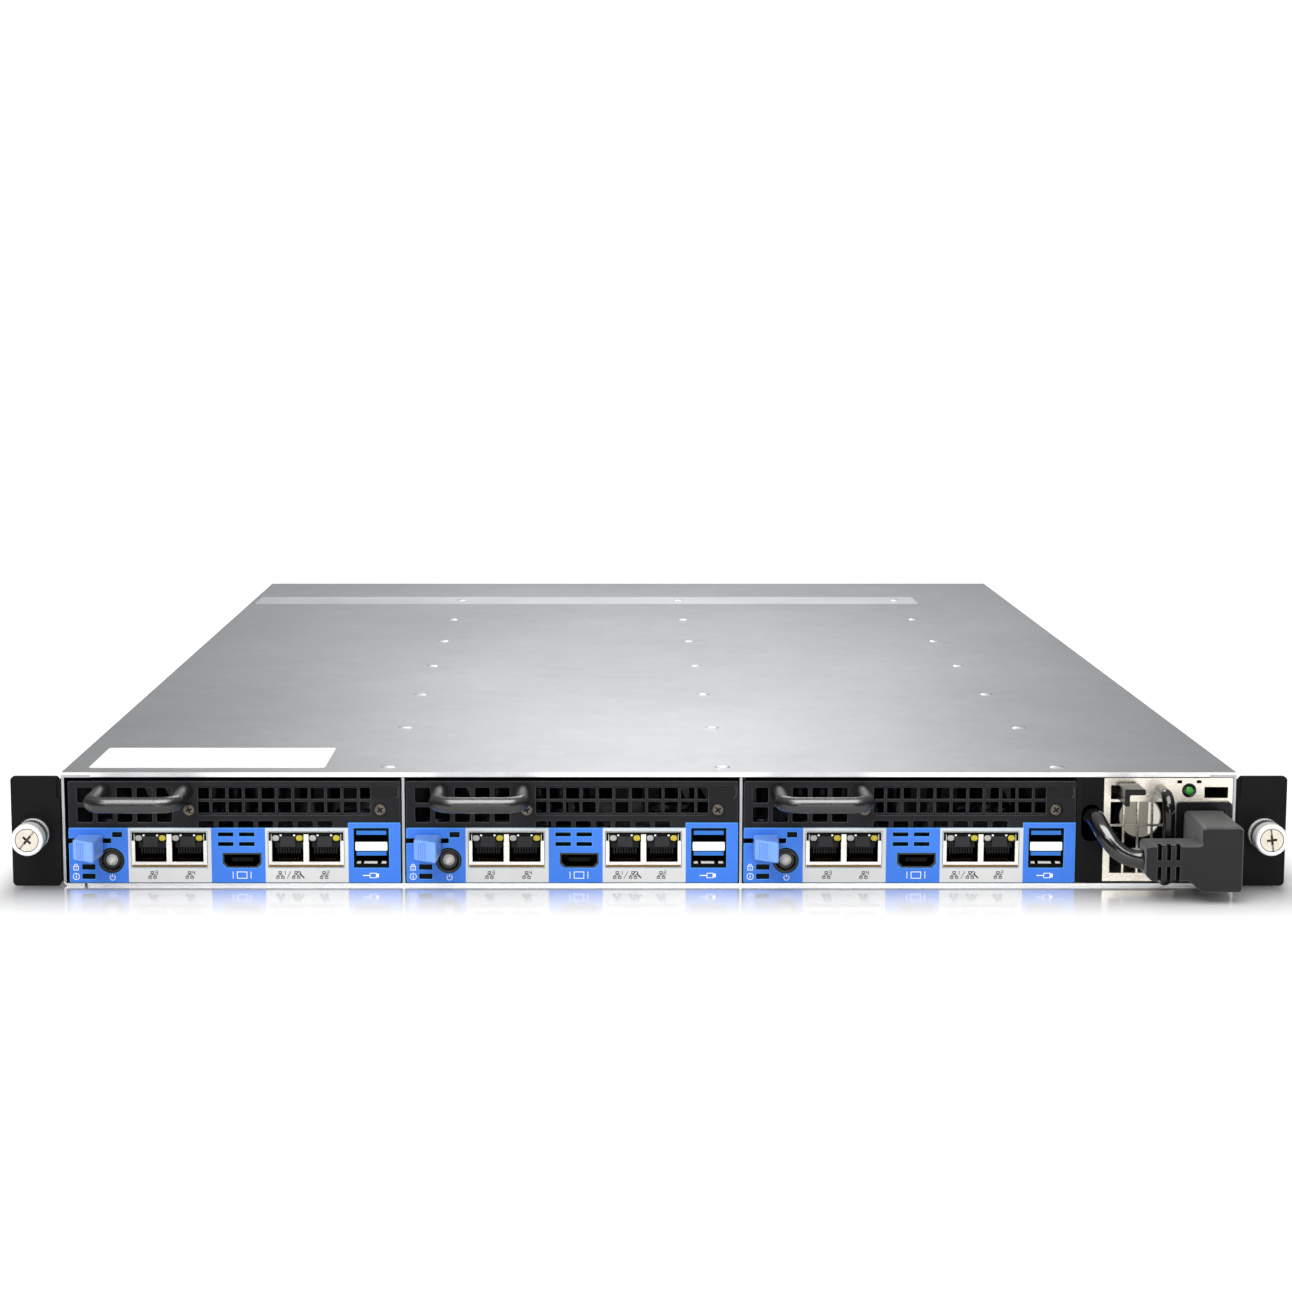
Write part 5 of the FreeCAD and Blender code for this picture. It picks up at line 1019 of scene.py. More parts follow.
@dataclass
class SledFront(SledPart):
    """A sled's tray, front plates, handle, latch and button."""

    button: Flat = (16.0, 9.94)
    lens_radius: float = 2.25
    lens_back: float = 1.0
    tab_back: float = -4.1
    arm_back: float = 14.0
    # Screws of the slot blank: place across and turn of each, then their sizes.
    screw_turns: tuple[Flat, ...] = ((45.65, 20.0), (118.0, 38.0))
    screw_up: float = 29.5
    screw_radius: float = 2.3
    screw_rise: float = 0.95
    screw_collar: tuple[Flat, ...] = ((2.75, 0.0), (2.75, 0.18), (2.3, 0.3), (2.3, 0.0))
    # Blank film on the front.
    film_x: Flat = (114.5, 124.0)
    film_z: Flat = (33.9, 38.25)
    film_corner: float = 0.5
    film_thick: float = 0.08

    def build(self) -> Iterator[bpy.types.Object]:
        """Dress the tray and the front, and make the screws and the film on it.

        Returns:
            The new pieces in order.
        """
        axis = (self.left + self.button[0], self.button[1])
        # The tray's front-facing faces forward of y = 0 take black: painted shade.
        dress(self.node("tray"), BODY_ZINC, (PORT_BLACK, lambda p, n: to_front(n) and p.y < 0.0))
        dress_plain({self.node("face_plate"): FACE_COAT, self.node("io_plate"): PANEL_PAINT,
                     self.node("slot_cover"): FACE_COAT, self.node("handle"): ROD_BLACK})
        dress(self.node("latch"), SPRING_STEEL, (SCREW_BLACK, lambda p, n: p.y < self.arm_back),
              (TAB_BLUE, lambda p, n: p.y < self.tab_back))
        dress(self.node("power_button"), BLACK_GLOSS,
              (LENS_CLEAR, lambda p, n: off_axis(p, axis) < self.lens_radius and p.y < self.lens_back))
        yield self.slot_screws()
        yield self.face_film()

    def slot_screws(self) -> bpy.types.Object:
        """Two cross-recess screws that hold the slot blank.

        Returns:
            The new piece.
        """
        shape = self.shape("slot_screws", self.face_front, SCREW_AGED, SCREW_BLACK)
        for across, turn in self.screw_turns:
            middle = (across, self.screw_up)
            shape.turned(middle, self.screw_collar, 1, loop=True)
            # The cross recess takes the black finish: painted shade.
            shape.cross_screw(middle, self.screw_radius, self.screw_rise, turn, 0, 1)
        return shape.build(self.body, "nickel_steel", 0.05)

    def face_film(self) -> bpy.types.Object:
        """Small blank film near the upper right corner of the front.

        Returns:
            The new piece.
        """
        shape = self.shape("face_film", self.face_front, FACE_FILM)
        shape.prism(rounded(self.film_x, self.film_z, self.film_corner), 0.0, self.film_thick)
        return shape.build(self.body, "black_paint")


@dataclass
class SledPorts(SledPart):
    """A sled's network, video and data ports, its lamps and the signs beside them."""

    # Network jacks: their left edges on the sled, and sizes from a jack's left edge.
    jack_lefts: Flat = (23.65, 75.55)
    jack_face: Flat = (0.15, 28.45)
    jack_top: Flat = (20.1, 20.95)
    jack_foot: Flat = (7.4, 8.35)
    jack_posts: Flat = (0.15, 27.55)
    post_x: Flat = (0.0, 0.9)
    post_z: Flat = (17.6, 20.2)
    port_first: float = 1.35
    port_pitch: float = 14.0
    # One network port, from its own left edge.
    port_x: Flat = (-0.02, 11.92)
    port_y: Flat = (-9.0, 9.9)
    port_z: Flat = (9.4, 19.4)
    plate_x: Flat = (-0.12, 12.02)
    plate_z: Flat = (17.1, 20.1)
    key_x: Flat = (2.95, 8.95)
    key_top: float = 19.3
    shutter_x: Flat = (3.15, 8.75)
    shutter_z: Flat = (15.3, 20.0)
    lamp_starts: Flat = (0.15, 9.1)
    lamp_x: Flat = (0.0, 2.65)
    lamp_z: Flat = (17.6, 19.75)
    dome_x: Flat = (0.25, 2.4)
    dome_z: Flat = (17.85, 19.5)
    gap_starts: Flat = (2.98, 8.1)
    gap_x: Flat = (0.0, 0.75)
    gap_z: Flat = (19.4, 20.05)
    comb_pitch: float = 1.02
    lip: float = 0.05
    # Video port, from the sled's left edge.
    video_middle: float = 65.5
    video_x: Flat = (58.5, 72.5)
    video_y: Flat = (-2.5, 8.5)
    video_z: Flat = (7.7, 12.4)
    # Stacked data ports, from their jack's left edge and from each port's top.
    data_left: float = 108.0
    data_web: Flat = (0.5, 12.6)
    data_tops: Flat = (21.94, 13.94)
    data_height: float = 5.2
    data_nose: Flat = (-5.0, 2.0)
    data_x: Flat = (0.3, 12.8)
    data_y: Flat = (-9.0, 14.0)
    data_z: Flat = (-5.3, 0.1)
    tongue_x: Flat = (0.85, 12.25)
    tongue_y: Flat = (-2.6, 14.0)
    tongue_z: Flat = (-2.15, -0.45)
    springs: tuple[Flat, ...] = ((0.95, 2.5), (3.7, 8.7), (10.3, 12.1))
    # Light pipes and printed signs.
    windows: tuple[tuple[Flat, float], ...] = (
        ((16.52, 20.08), 19.94), ((4.92, 9.68), 7.49), ((4.92, 9.68), 3.84))
    window_half: float = 0.93
    white_signs: tuple[tuple[Icon, Flat], ...] = (
        (Icon.LOCK, (2.5, 7.6)), (Icon.NOTE, (2.5, 3.8)), (Icon.POWER, (16.3, 3.4)),
        (Icon.SCREEN, (65.4, 4.35)), (Icon.PLUG, (114.2, 4.2)))
    dark_signs: tuple[tuple[Icon, Flat], ...] = (
        (Icon.NETWORK, (31.4, 4.4)), (Icon.NETWORK, (45.5, 4.4)), (Icon.NETWORK, (79.9, 4.4)),
        (Icon.SLASH, (83.2, 4.4)), (Icon.NETWORK, (85.9, 4.4)), (Icon.TOOL, (88.2, 4.0)),
        (Icon.NETWORK, (96.5, 4.4)), (Icon.THREE, (32.5, 4.5)), (Icon.FOUR, (46.6, 4.5)),
        (Icon.ONE, (81.0, 4.5)), (Icon.TWO, (97.6, 4.5)))
    ink: Flat = (0.0, 0.03)

    def build(self) -> Iterator[bpy.types.Object]:
        """Dress the jacks and make what shows in and beside them.

        Returns:
            The new pieces in order.
        """
        dress(self.node("network_jacks"), JACK_SHELL, (PORT_BLACK, self.in_network_port))
        # The darkened shell metal, and the black on the data jack's front end and on the metal inside the
        # ports, are painted shade.
        dress(self.node("video_usb_jacks"), SHADED_SHELL, (PORT_BLACK, self.on_shaded_data_nose),
              (PORT_BLACK, self.in_shaded_data_port), (TONGUE_BLUE, self.on_data_tongue))
        yield self.jack_fittings()
        yield self.port_contacts()
        yield self.lamp_windows()
        yield self.printed_signs()

    def ports_of(self, jack: float) -> list[float]:
        """Left edges of the two ports of a jack."""
        return row(jack + self.port_first, self.port_pitch, 2)

    def behind_lip(self, place: Vector) -> bool:
        """Whether a place lies behind the front rim of the ports."""
        return place.y >= self.io_front + self.lip

    def in_network_port(self, place: Vector, normal: Vector) -> bool:
        """Whether a face lies inside one of the network ports.

        Args:
            place: the face's middle.
            normal: the face's direction.

        Returns:
            Whether it lies there.
        """
        ports = [port + self.left for jack in self.jack_lefts for port in self.ports_of(jack)]
        cavities = [(moved(self.port_x, port), self.port_y, self.port_z) for port in ports]
        return self.behind_lip(place) and any(inside(place, *cavity) for cavity in cavities)

    def on_shaded_data_nose(self, place: Vector, normal: Vector) -> bool:
        """Whether a face belongs to the front end of the stacked data jack, whose black is painted shade on
        the metal shell.
        """
        return place.x > self.left + self.data_left + self.data_nose[0] and place.y < self.data_nose[1]

    def in_shaded_data_port(self, place: Vector, normal: Vector) -> bool:
        """Whether a face lies inside one of the data ports or the video port, whose black is partly the
        plastic's own black and partly painted shade on the metal walls.

        Args:
            place: the face's middle.
            normal: the face's direction.

        Returns:
            Whether it lies there.
        """
        across = moved(self.data_x, self.left + self.data_left)
        cavities = [(across, self.data_y, moved(self.data_z, top)) for top in self.data_tops]
        cavities.append((moved(self.video_x, self.left), self.video_y, self.video_z))
        return self.behind_lip(place) and any(inside(place, *cavity) for cavity in cavities)

    def on_data_tongue(self, place: Vector, normal: Vector) -> bool:
        """Whether a face belongs to a tongue of the data ports.

        Args:
            place: the face's middle.
            normal: the face's direction.

        Returns:
            Whether it belongs there.
        """
        across = moved(self.tongue_x, self.left + self.data_left)
        levels = [moved(self.tongue_z, top) for top in self.data_tops]
        return any(inside(place, across, self.tongue_y, level) for level in levels)

    def jack_fittings(self) -> bpy.types.Object:
        """Black fronts, lamps, contacts and lower edge of the four network ports.

        Returns:
            The new piece.
        """
        shape = self.shape("jack_fittings", self.io_front, PORT_BLACK, LENS_FROST, LENS_YELLOW, BRASS,
                           WEB_WHITE, SHELL_EDGE, PORT_GREY)
        for jack in self.jack_lefts:
            face = moved(self.jack_face, jack)
            shape.box(face, self.jack_top, (-0.1, 0.06))
            shape.box(face, self.jack_foot, (-0.1, 0.08), 5)
            for side in self.jack_posts:
                shape.box(moved(self.post_x, jack + side), self.post_z, (-0.1, 0.06))
            for port in self.ports_of(jack):
                self.port_front(shape, port)
                self.contact_comb(shape, port)
        return shape.build(self.body, "black_plastic", 0.08)

    def port_front(self, shape: Shape, x: float) -> None:
        """Black plate round one port's key, with its two lamps and small bright gaps.

        Args:
            shape: the piece that takes them.
            x: left edge of the port.
        """
        left, right = moved(self.plate_x, x)
        low, high = self.plate_z
        key = moved(self.key_x, x)
        plate = [(left, low), (key[0], low), (key[0], self.key_top), (key[1], self.key_top), (key[1], low),
                 (right, low), (right, high), (left, high)]
        shape.prism(plate, -0.1, 0.1, 0)
        shape.box(moved(self.shutter_x, x), self.shutter_z, (-0.8, 0.06), 6)
        for coat, start in enumerate(self.lamp_starts, 1):
            lamp = rounded(moved(self.lamp_x, x + start), self.lamp_z, 1.0)
            dome = rounded(moved(self.dome_x, x + start), self.dome_z, 0.75)
            steps = ((lamp, -0.1), (lamp, 0.2), (dome, 0.42))
            shape.loft([[(a, b, c) for a, b in outline] for outline, c in steps], coat)
        for start in self.gap_starts:
            shape.prism(rounded(moved(self.gap_x, x + start), self.gap_z, 0.2), 0.05, 0.16, 4)

    def contact_comb(self, shape: Shape, x: float) -> None:
        """Eight sloping contacts and the ribs between them, in one port.

        Args:
            shape: the piece that takes them.
            x: left edge of the port.
        """
        for middle in row(x + 2.4, self.comb_pitch, 8):
            across = about(middle, 0.16)
            shape.loft([rect(across, (9.9, 10.2), -2.2), rect(across, (13.4, 13.7), -10.5)], 3)
        shape.box((x + 0.6, x + 11.3), (14.1, 16.9), (-5.4, -4.2), 6)
        for middle in row(x + 1.89, self.comb_pitch, 9):
            shape.box(about(middle, 0.26), (11.9, 14.3), (-5.2, -4.0), 6)

    def port_contacts(self) -> bpy.types.Object:
        """Contacts of the video and data ports, and the springs under them, whose white is a painted
        reflection.

        Returns:
            The new piece.
        """
        shape = self.shape("port_contacts", self.io_front, BRASS, WEB_WHITE, WHITE_PLASTIC_AND_SPRING_SHINE)
        lower = self.data_tops[1]
        web = rounded(moved(self.data_web, self.data_left), (lower - 0.1, lower + 3.2), 0.35)
        # The web between the data ports takes the near-white finish: a painted highlight on the metal.
        shape.prism(web, -0.6, 0.1, 1)
        for middle in row(self.video_middle - 3.6, 0.8, 10):
            for level in ((10.6, 10.72), (9.38, 9.5)):
                shape.box(about(middle, 0.18), level, (-8.0, -1.75))
        for top in self.data_tops:
            for middle in row(self.data_left + 2.9, 2.43, 4):
                shape.box(about(middle, 0.5), (top - 2.22, top - 2.08), (-9.0, -1.0))
        foot = (lower - self.data_height, lower - self.data_height + 0.15)
        # The springs take diffuse white in place of metal: a painted reflection.
        for spring in self.springs:
            across = moved(spring, self.data_left)
            shape.loft([rect(across, foot, -0.45), rect(across, moved(foot, 0.45), -1.9)], 2)
        return shape.build(self.body, "jack_shell")

    def lamp_windows(self) -> bpy.types.Object:
        """Smoked light pipes in the three indicator slots.

        Returns:
            The new piece.
        """
        shape = self.shape("lamp_windows", self.io_front, LENS_SMOKE)
        for across, up in self.windows:
            shape.prism(obround(across, about(up, self.window_half)), -1.9, -0.7)
        return shape.build(self.body, "lamp_lens", 0.08)

    def printed_signs(self) -> bpy.types.Object:
        """Plain signs beside the ports, white on blue and dark on silver.

        Returns:
            The new piece.
        """
        shape = self.shape("printed_signs", self.io_front, PRINT_WHITE, PRINT_DARK)
        for coat, signs in enumerate((self.white_signs, self.dark_signs)):
            for icon, zero in signs:
                icon.draw(shape, zero, self.ink, coat)
        return shape.build(self.body, "blue_paint")


@dataclass
class SledBoard(SledPart):
    """A sled's mainboard and what stands on it."""

    top: float = 7.3
    # Limits of the faces that take another finish.
    slack: float = 0.1
    sink_y: Flat = (148.0, 226.0)
    sink_half: float = 39.0
    sink_foot: float = 4.5
    chip_sink_y: Flat = (286.0, 316.0)
    chip_sink_half: float = 15.0
    choke_y: Flat = (126.9, 134.1)
    memory_x: Flat = (41.0, 58.0)
    memory_top: float = 9.05
    # Places of the fittings and of the screws.
    chips: tuple[Point, ...] = (
        (40.0, 44.0, 15.0), (88.0, 44.0, 15.0), (62.0, 80.0, 19.0), (90.0, 345.0, 17.0))
    cell: Flat = (104.0, 92.0)
    header_corners: tuple[Flat, ...] = ((30.0, 456.0), (70.0, 456.0))
    card: Flat = (24.0, 340.0)
    pin_pitch: float = 2.54
    screw_inset: float = 8.2
    screw_rows: tuple[float, ...] = (63.6, 246.6, 479.2)

    def build(self) -> Iterator[bpy.types.Object]:
        """Dress the board and make its fittings and screws.

        Returns:
            The new pieces in order.
        """
        dress(self.node("mainboard"), BOARD_GREEN)
        dress(self.node("board_parts"), BLACK_PLASTIC, (FIN_METAL, self.on_sink),
              (CHOKE_GREY, self.on_choke), (WHITE_PLASTIC_AND_SPRING_SHINE, self.on_latch))
        yield self.fittings()
        yield self.screws()

    def off_middle(self, place: Vector) -> float:
        """Distance of a place from the board's middle line."""
        return abs(place.x - (self.left + self.width / 2))

    def on_sink(self, place: Vector, normal: Vector) -> bool:
        """Whether a face belongs to one of the finned sinks.

        Args:
            place: the face's middle.
            normal: the face's direction.

        Returns:
            Whether it belongs there.
        """
        reach = self.off_middle(place) - self.slack
        near, far = place.y + self.slack, place.y - self.slack
        if self.sink_y[0] <= near and far <= self.sink_y[1] and reach < self.sink_half:
            return place.z >= self.top + self.sink_foot
        return self.chip_sink_y[0] <= near and far <= self.chip_sink_y[1] and reach < self.chip_sink_half

    def on_choke(self, place: Vector, normal: Vector) -> bool:
        """Whether a face belongs to one of the chokes."""
        return self.choke_y[0] <= place.y <= self.choke_y[1] and self.off_middle(place) < self.sink_half

    def on_latch(self, place: Vector, normal: Vector) -> bool:
        """Whether a face belongs to a memory socket's upright latch."""
        low, high = self.memory_x
        return low < self.off_middle(place) < high and place.z > self.top + self.memory_top

    def drawing(self, part: str, *finishes: Finish) -> Shape:
        """Start a piece drawn on top of the board."""
        return Shape(self.node(part), Facing.TOP, (self.left, 0.0, self.top), *finishes)

    def fittings(self) -> bpy.types.Object:
        """Chips, capacitors, coin cell, headers and a small storage card on the board.

        Returns:
            The new piece.
        """
        shape = self.drawing("board_fittings", CHIP_BLACK, SLEEVE, CAN_METAL, BRASS, WHITE_PLASTIC_AND_SPRING_SHINE,
                             BOARD_GREEN)
        for x in row(self.width / 2 - 32.5, 13.0, 6):
            self.capacitor(shape, (x, 141.0), 2.9, 9.0)
        for x in row(30.0, 9.0, 5):
            self.capacitor(shape, (x, 108.0), 3.2, 10.5)
        for x, y, side in self.chips:
            self.chip(shape, (x, y), side, 1.5)
        for x in row(30.0, 9.5, 8):
            self.chip(shape, (x, 64.0), 4.5, 1.1)
        self.coin_cell(shape)
        for corner in self.header_corners:
            self.header(shape, corner, 10)
        self.storage_card(shape)
        self.sockets(shape)
        return shape.build(self.body, "circuit_board", 0.12)

    @staticmethod
    def sockets(shape: Shape) -> None:
        """Three cable sockets along the right edge, and small parts strewn by two fixed strides.

        Args:
            shape: the piece that takes them.
        """
        for y in row(350.0, 26.0, 3):
            shape.box((104.0, 118.0), (y, y + 18.0), (0.0, 8.5))
            shape.box((106.0, 116.0), (y + 3.0, y + 15.0), (8.5, 9.2), 4)
        for number in range(22):
            x = 28.0 + (number * 37) % 88
            y = 330.0 + (number * 53) % 130
            if 50.0 < x < 100.0 and (x < 78.0 or y > 362.0):
                shape.box((x, x + 2.0), (y, y + 1.2), (0.0, 0.7), 4)

    @staticmethod
    def capacitor(shape: Shape, middle: Flat, radius: float, height: float) -> None:
        """A sleeved can with a rolled rim and a bare metal top.

        Args:
            shape: the piece that takes it.
            middle: place of its axis.
            radius: radius of the can.
            height: height of the can.
        """
        shape.turned(middle, [(radius, 0.0), (radius, 0.8), (radius * 0.92, 1.2), (radius, 1.6),
                              (radius, height - 0.5), (radius * 0.9, height)], 1)
        lid = [(radius * 0.8, height - 0.2), (radius * 0.8, height + 0.08), (radius * 0.7, height + 0.14)]
        shape.turned(middle, lid, 2)

    @staticmethod
    def chip(shape: Shape, middle: Flat, side: float, height: float) -> None:
        """A flat chip with a row of leads on every side.

        Args:
            shape: the piece that takes it.
            middle: place of the chip's middle.
            side: length of a side.
            height: height of the chip.
        """
        x, y = middle
        half = side / 2
        shape.box(about(x, half), about(y, half), (0.15, height))
        count = int(side / 1.3)
        for number in range(count):
            shift = -half + side * (number + 0.5) / count
            for lead in ((-half - 0.9, -half), (half, half + 0.9)):
                shape.box(moved(lead, x), about(y + shift, 0.2), (0.0, 0.35), 2)
                shape.box(about(x + shift, 0.2), moved(lead, y), (0.0, 0.35), 2)

    def coin_cell(self, shape: Shape) -> None:
        """A coin cell in its low holder with a spring clip.

        Args:
            shape: the piece that takes it.
        """
        x, y = self.cell
        shape.turned(self.cell, [(12.0, 0.0), (12.0, 3.4), (10.6, 3.4), (10.6, 0.0)], 0, 40, True)
        shape.turned(self.cell, [(10.2, 0.4), (10.2, 3.4), (9.6, 4.0), (7.4, 4.0), (7.0, 4.15)], 2, 40)
        shape.box(about(x, 3.0), (y - 13.2, y - 8.6), (3.6, 4.7), 2)

    def header(self, shape: Shape, corner: Flat, count: int) -> None:
        """A double row of pins in a low black base.

        Args:
            shape: the piece that takes it.
            corner: lower left corner of the base.
            count: pins in a row.
        """
        x, y = corner
        pitch = self.pin_pitch
        shape.box((x, x + count * pitch), (y, y + 2 * pitch), (0.0, 2.5))
        for across in row(x + pitch / 2, pitch, count):
            for along in row(y + pitch / 2, pitch, 2):
                shape.box(about(across, 0.32), about(along, 0.32), (2.4, 8.5), 3)

    def storage_card(self, shape: Shape) -> None:
        """A small storage card in its edge socket, held by one screw.

        Args:
            shape: the piece that takes it.
        """
        x, y = self.card
        post = (x + 11.0, y + 79.0)
        shape.box((x - 1.0, x + 23.0), (y - 7.0, y + 2.0), (0.0, 4.2))
        shape.box((x, x + 22.0), (y + 0.5, y + 80.0), (2.2, 3.0), 5)
        for low in row(y + 8.0, 22.0, 3):
            shape.box((x + 3.0, x + 19.0), (low, low + 17.0), (2.9, 4.2))
        shape.turned(post, [(2.6, 0.0), (2.6, 3.0), (2.4, 3.2)], 2)
        shape.cross_screw(post, 2.0, 4.3, 25.0, 2)

    def screws(self) -> bpy.types.Object:
        """Screws that hold the board to the tray's six standoffs.

        Returns:
            The new piece.
        """
        shape = self.drawing("board_screws", SCREW_STEEL)
        for x in (self.screw_inset, self.width - self.screw_inset):
            for number, y in enumerate(self.screw_rows):
                shape.cross_screw((x, y), 2.6, 1.5, 17.0 * number)
        return shape.build(self.body, "nickel_steel", 0.05)


@dataclass
class Chassis:
    """Folded chassis with its cover, ears, filler, midplane and rear panel."""

    half: float = 222.0
    front: float = -2.0
    rear: float = 648.0
    top: float = 43.8
    flange: float = 223.4
    # Limits of the faces that take another finish.
    edge_back: float = 1.0
    hem_top: float = 3.0
    gap_right: float = -220.1
    gap_y: Flat = (0.5, 12.2)
    gap_z: Flat = (1.5, 41.0)
    last_divider: float = 155.0
    boards_y: tuple[Flat, ...] = ((508.1, 510.7), (306.9, 309.5))
    # Blank label and film strip on the cover, measured back from its front.
    label_x: Flat = (-213.4, -123.3)
    label_back: Flat = (9.5, 53.2)
    label_corner: float = 1.2
    label_thick: float = 0.12
    strip_x: Flat = (-219.0, 168.0)
    strip_back: Flat = (541.0, 576.0)
    strip_corner: float = 2.0
    strip_thick: float = 0.08
    # Screws of the ears, the cover and the fans.
    ear_screws: tuple[Flat, ...] = ((14.0, 11.0), (14.0, 33.0), (34.0, 22.0))
    cover_screws: tuple[float, ...] = (130.0, 290.0, 450.0, 610.0)
    cover_screw_up: float = 37.0
    fans: int = 6
    fan_screw: float = 16.5
    body: str = "chassis"

    def build(self) -> Iterator[bpy.types.Object]:
        """Dress the chassis and make its pieces.

        Returns:
            The new pieces in order.
        """
        self.dress_nodes()
        label = rounded(self.label_x, self.label_back, self.label_corner)
        strip = rounded(self.strip_x, self.strip_back, self.strip_corner)
        yield self.cover_sheet("cover_label", LABEL_PAPER, label, self.label_thick)
        yield self.cover_sheet("cover_strip", FILM, strip, self.strip_thick)
        for facing in (Facing.LEFT, Facing.RIGHT):
            yield self.side_screws(facing)
        yield self.rear_screws()

    def dress_nodes(self) -> None:
        """Give the chassis nodes their finishes."""
        # Front-facing edges of the base and the cover take the lighter zinc, a painted highlight.
        dress("chassis_base", BODY_ZINC,
              (LIT_HEM_ZINC, lambda p, n: self.on_front_edge(p, n) and p.z < self.hem_top),
              # Black in the narrow gap left of the first sled: painted shade.
              (PORT_BLACK, self.in_shaded_left_gap))
        dress("top_cover", COVER_ZINC, (LIT_HEM_ZINC, self.on_front_edge))
        dress("bay_dividers", BODY_ZINC, (DIVIDER_ZINC, lambda p, n: to_front(n)),
              (EAR_COAT, lambda p, n: to_front(n) and p.x > self.last_divider))
        dress("midplane", BLACK_PLASTIC,
              (BOARD_GREEN, lambda p, n: any(low <= p.y <= high for low, high in self.boards_y)))
        dress_plain({"rear_panel": BODY_ZINC, "cover_rivets": RIVET_ZINC, "rack_ears": EAR_COAT,
                     "filler_strip": EAR_COAT, "fan_frames": BLACK_PLASTIC, "rear_inlet": BLACK_PLASTIC})

    def on_front_edge(self, place: Vector, normal: Vector) -> bool:
        """Whether a face belongs to a sheet's front edge."""
        return to_front(normal) and place.y < self.edge_back

    def in_shaded_left_gap(self, place: Vector, normal: Vector) -> bool:
        """Whether a face shows in the narrow gap left of the first sled, where black stands for painted
        shade.
        """
        across = (-math.inf, self.gap_right)
        return inside(place, across, self.gap_y, self.gap_z) and (normal.x > 0.5 or to_front(normal))

    def cover_sheet(self, name: str, finish: Finish, outline: list[Flat], thick: float) -> bpy.types.Object:
        """Thin blank sheet on the cover.

        Args:
            name: the piece's name.
            finish: its finish.
            outline: its outline, measured back from the cover's front.
            thick: its thickness.

        Returns:
            The new piece.
        """
        shape = Shape(name, Facing.TOP, (0.0, self.front, self.top), finish)
        shape.prism(outline, 0.0, thick)
        return shape.build(self.body, "galvanised_steel", 0.03)

    def side_screws(self, facing: Facing) -> bpy.types.Object:
        """Ear screws and cover screws on one side wall.

        Args:
            facing: the side of the wall.

        Returns:
            The new piece.
        """
        side = 1 if facing is Facing.RIGHT else -1
        name = f"side_screws_{facing.name.lower()}"
        shape = Shape(name, facing, (side * self.half, 0.0, 0.0), SCREW_BLACK, SCREW_STEEL)
        rise = self.flange - self.half
        for y, z in self.ear_screws:
            place = (side * y, z)
            shape.turned(place, [(3.2, rise), (3.2, rise + 0.2), (3.0, rise + 0.3)], 0)
            shape.cross_screw(place, 2.8, rise + 1.1, y, 0)
        for number, y in enumerate(self.cover_screws):
            shape.cross_screw((side * y, self.cover_screw_up), 2.6, 0.9, 23.0 * number, 1)
        return shape.build(self.body, "nickel_steel", 0.06)

    def rear_screws(self) -> bpy.types.Object:
        """Four screws round every fan on the rear panel.

        Returns:
            The new piece.
        """
        shape = Shape("rear_screws", Facing.REAR, (0.0, self.rear, 0.0), SCREW_STEEL)
        shifts = (-self.fan_screw, self.fan_screw)
        for number in range(1, self.fans + 1):
            x, z = axis_of(f"fan_rotor_{number}")
            for dx in shifts:
                for dz in shifts:
                    shape.cross_screw((-(x + dx), z + dz), 2.2, 0.9, dx + 2 * dz)
        return shape.build(self.body, "nickel_steel", 0.05)


@dataclass
class Thumbscrew:
    """Captive thumbscrew of one ear."""

    side: str
    face: float = 4.2
    face_edge: float = 0.35
    skin: float = 0.05
    recess_back: float = 2.2
    slot_floor: Flat = (0.75, 0.85)
    knurl: Flat = (5.7, 9.9)

    def build(self) -> Iterator[bpy.types.Object]:
        """Dress the screw: white rim whose white is a painted highlight, cream middle, grey slot, recess
        darkened by painted shade, and grey knurl.

        Returns:
            No piece, because the solid has every form.
        """
        node = f"thumbscrew_{self.side}"
        recess = (self.skin, self.recess_back)
        axis = axis_of(node)
        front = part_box(node)[0].y / MM

        def within(place: Vector, reach: float, depths: Flat) -> bool:
            """Whether a place lies near the screw's axis and between two depths behind its front."""
            return off_axis(place, axis) < reach and depths[0] < place.y - front < depths[1]

        dress(node, THUMB_NICKEL_SHINE,
              (RECESS_SHADE, lambda p, n: within(p, self.face + self.face_edge, recess)),
              (SCREW_STEEL, lambda p, n: within(p, self.face, self.slot_floor)),
              (THUMB_CREAM, lambda p, n: within(p, self.face, (-math.inf, self.skin))),
              (THUMB_KNURL, lambda p, n: within(p, math.inf, self.knurl)))
        return iter(())


@dataclass
class Fan:
    """One fan's rotor with the disc on its hub."""

    rotor: str
    body: str
    disc: float = 0.5
    patch: float = 0.94
    patch_turn: Flat = (-66.0, 66.0)
    rises: Point = (0.06, 0.12, 0.18)

    def build(self) -> Iterator[bpy.types.Object]:
        """Dress the rotor and add its hub disc, with a pale patch on its right.

        Returns:
            The new piece.
        """
        dress(self.rotor, BLACK_PLASTIC)
        low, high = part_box(self.rotor)
        middle = axis_of(self.rotor)
        reach = (high.x - low.x) / 2 / MM * self.disc
        rim, flat, over = self.rises
        shape = Shape(f"{self.body}_hub_disc", Facing.FRONT, (0.0, low.y / MM, 0.0), HUB_DISC, HUB_PALE)
        shape.turned(middle, [(reach, 0.0), (reach, rim), (reach - 0.2, flat)], 0, 40)
        shape.prism(sweep(middle, reach * self.patch, self.patch_turn, 12), flat, over, 1)
        yield shape.build(self.body, "black_plastic")


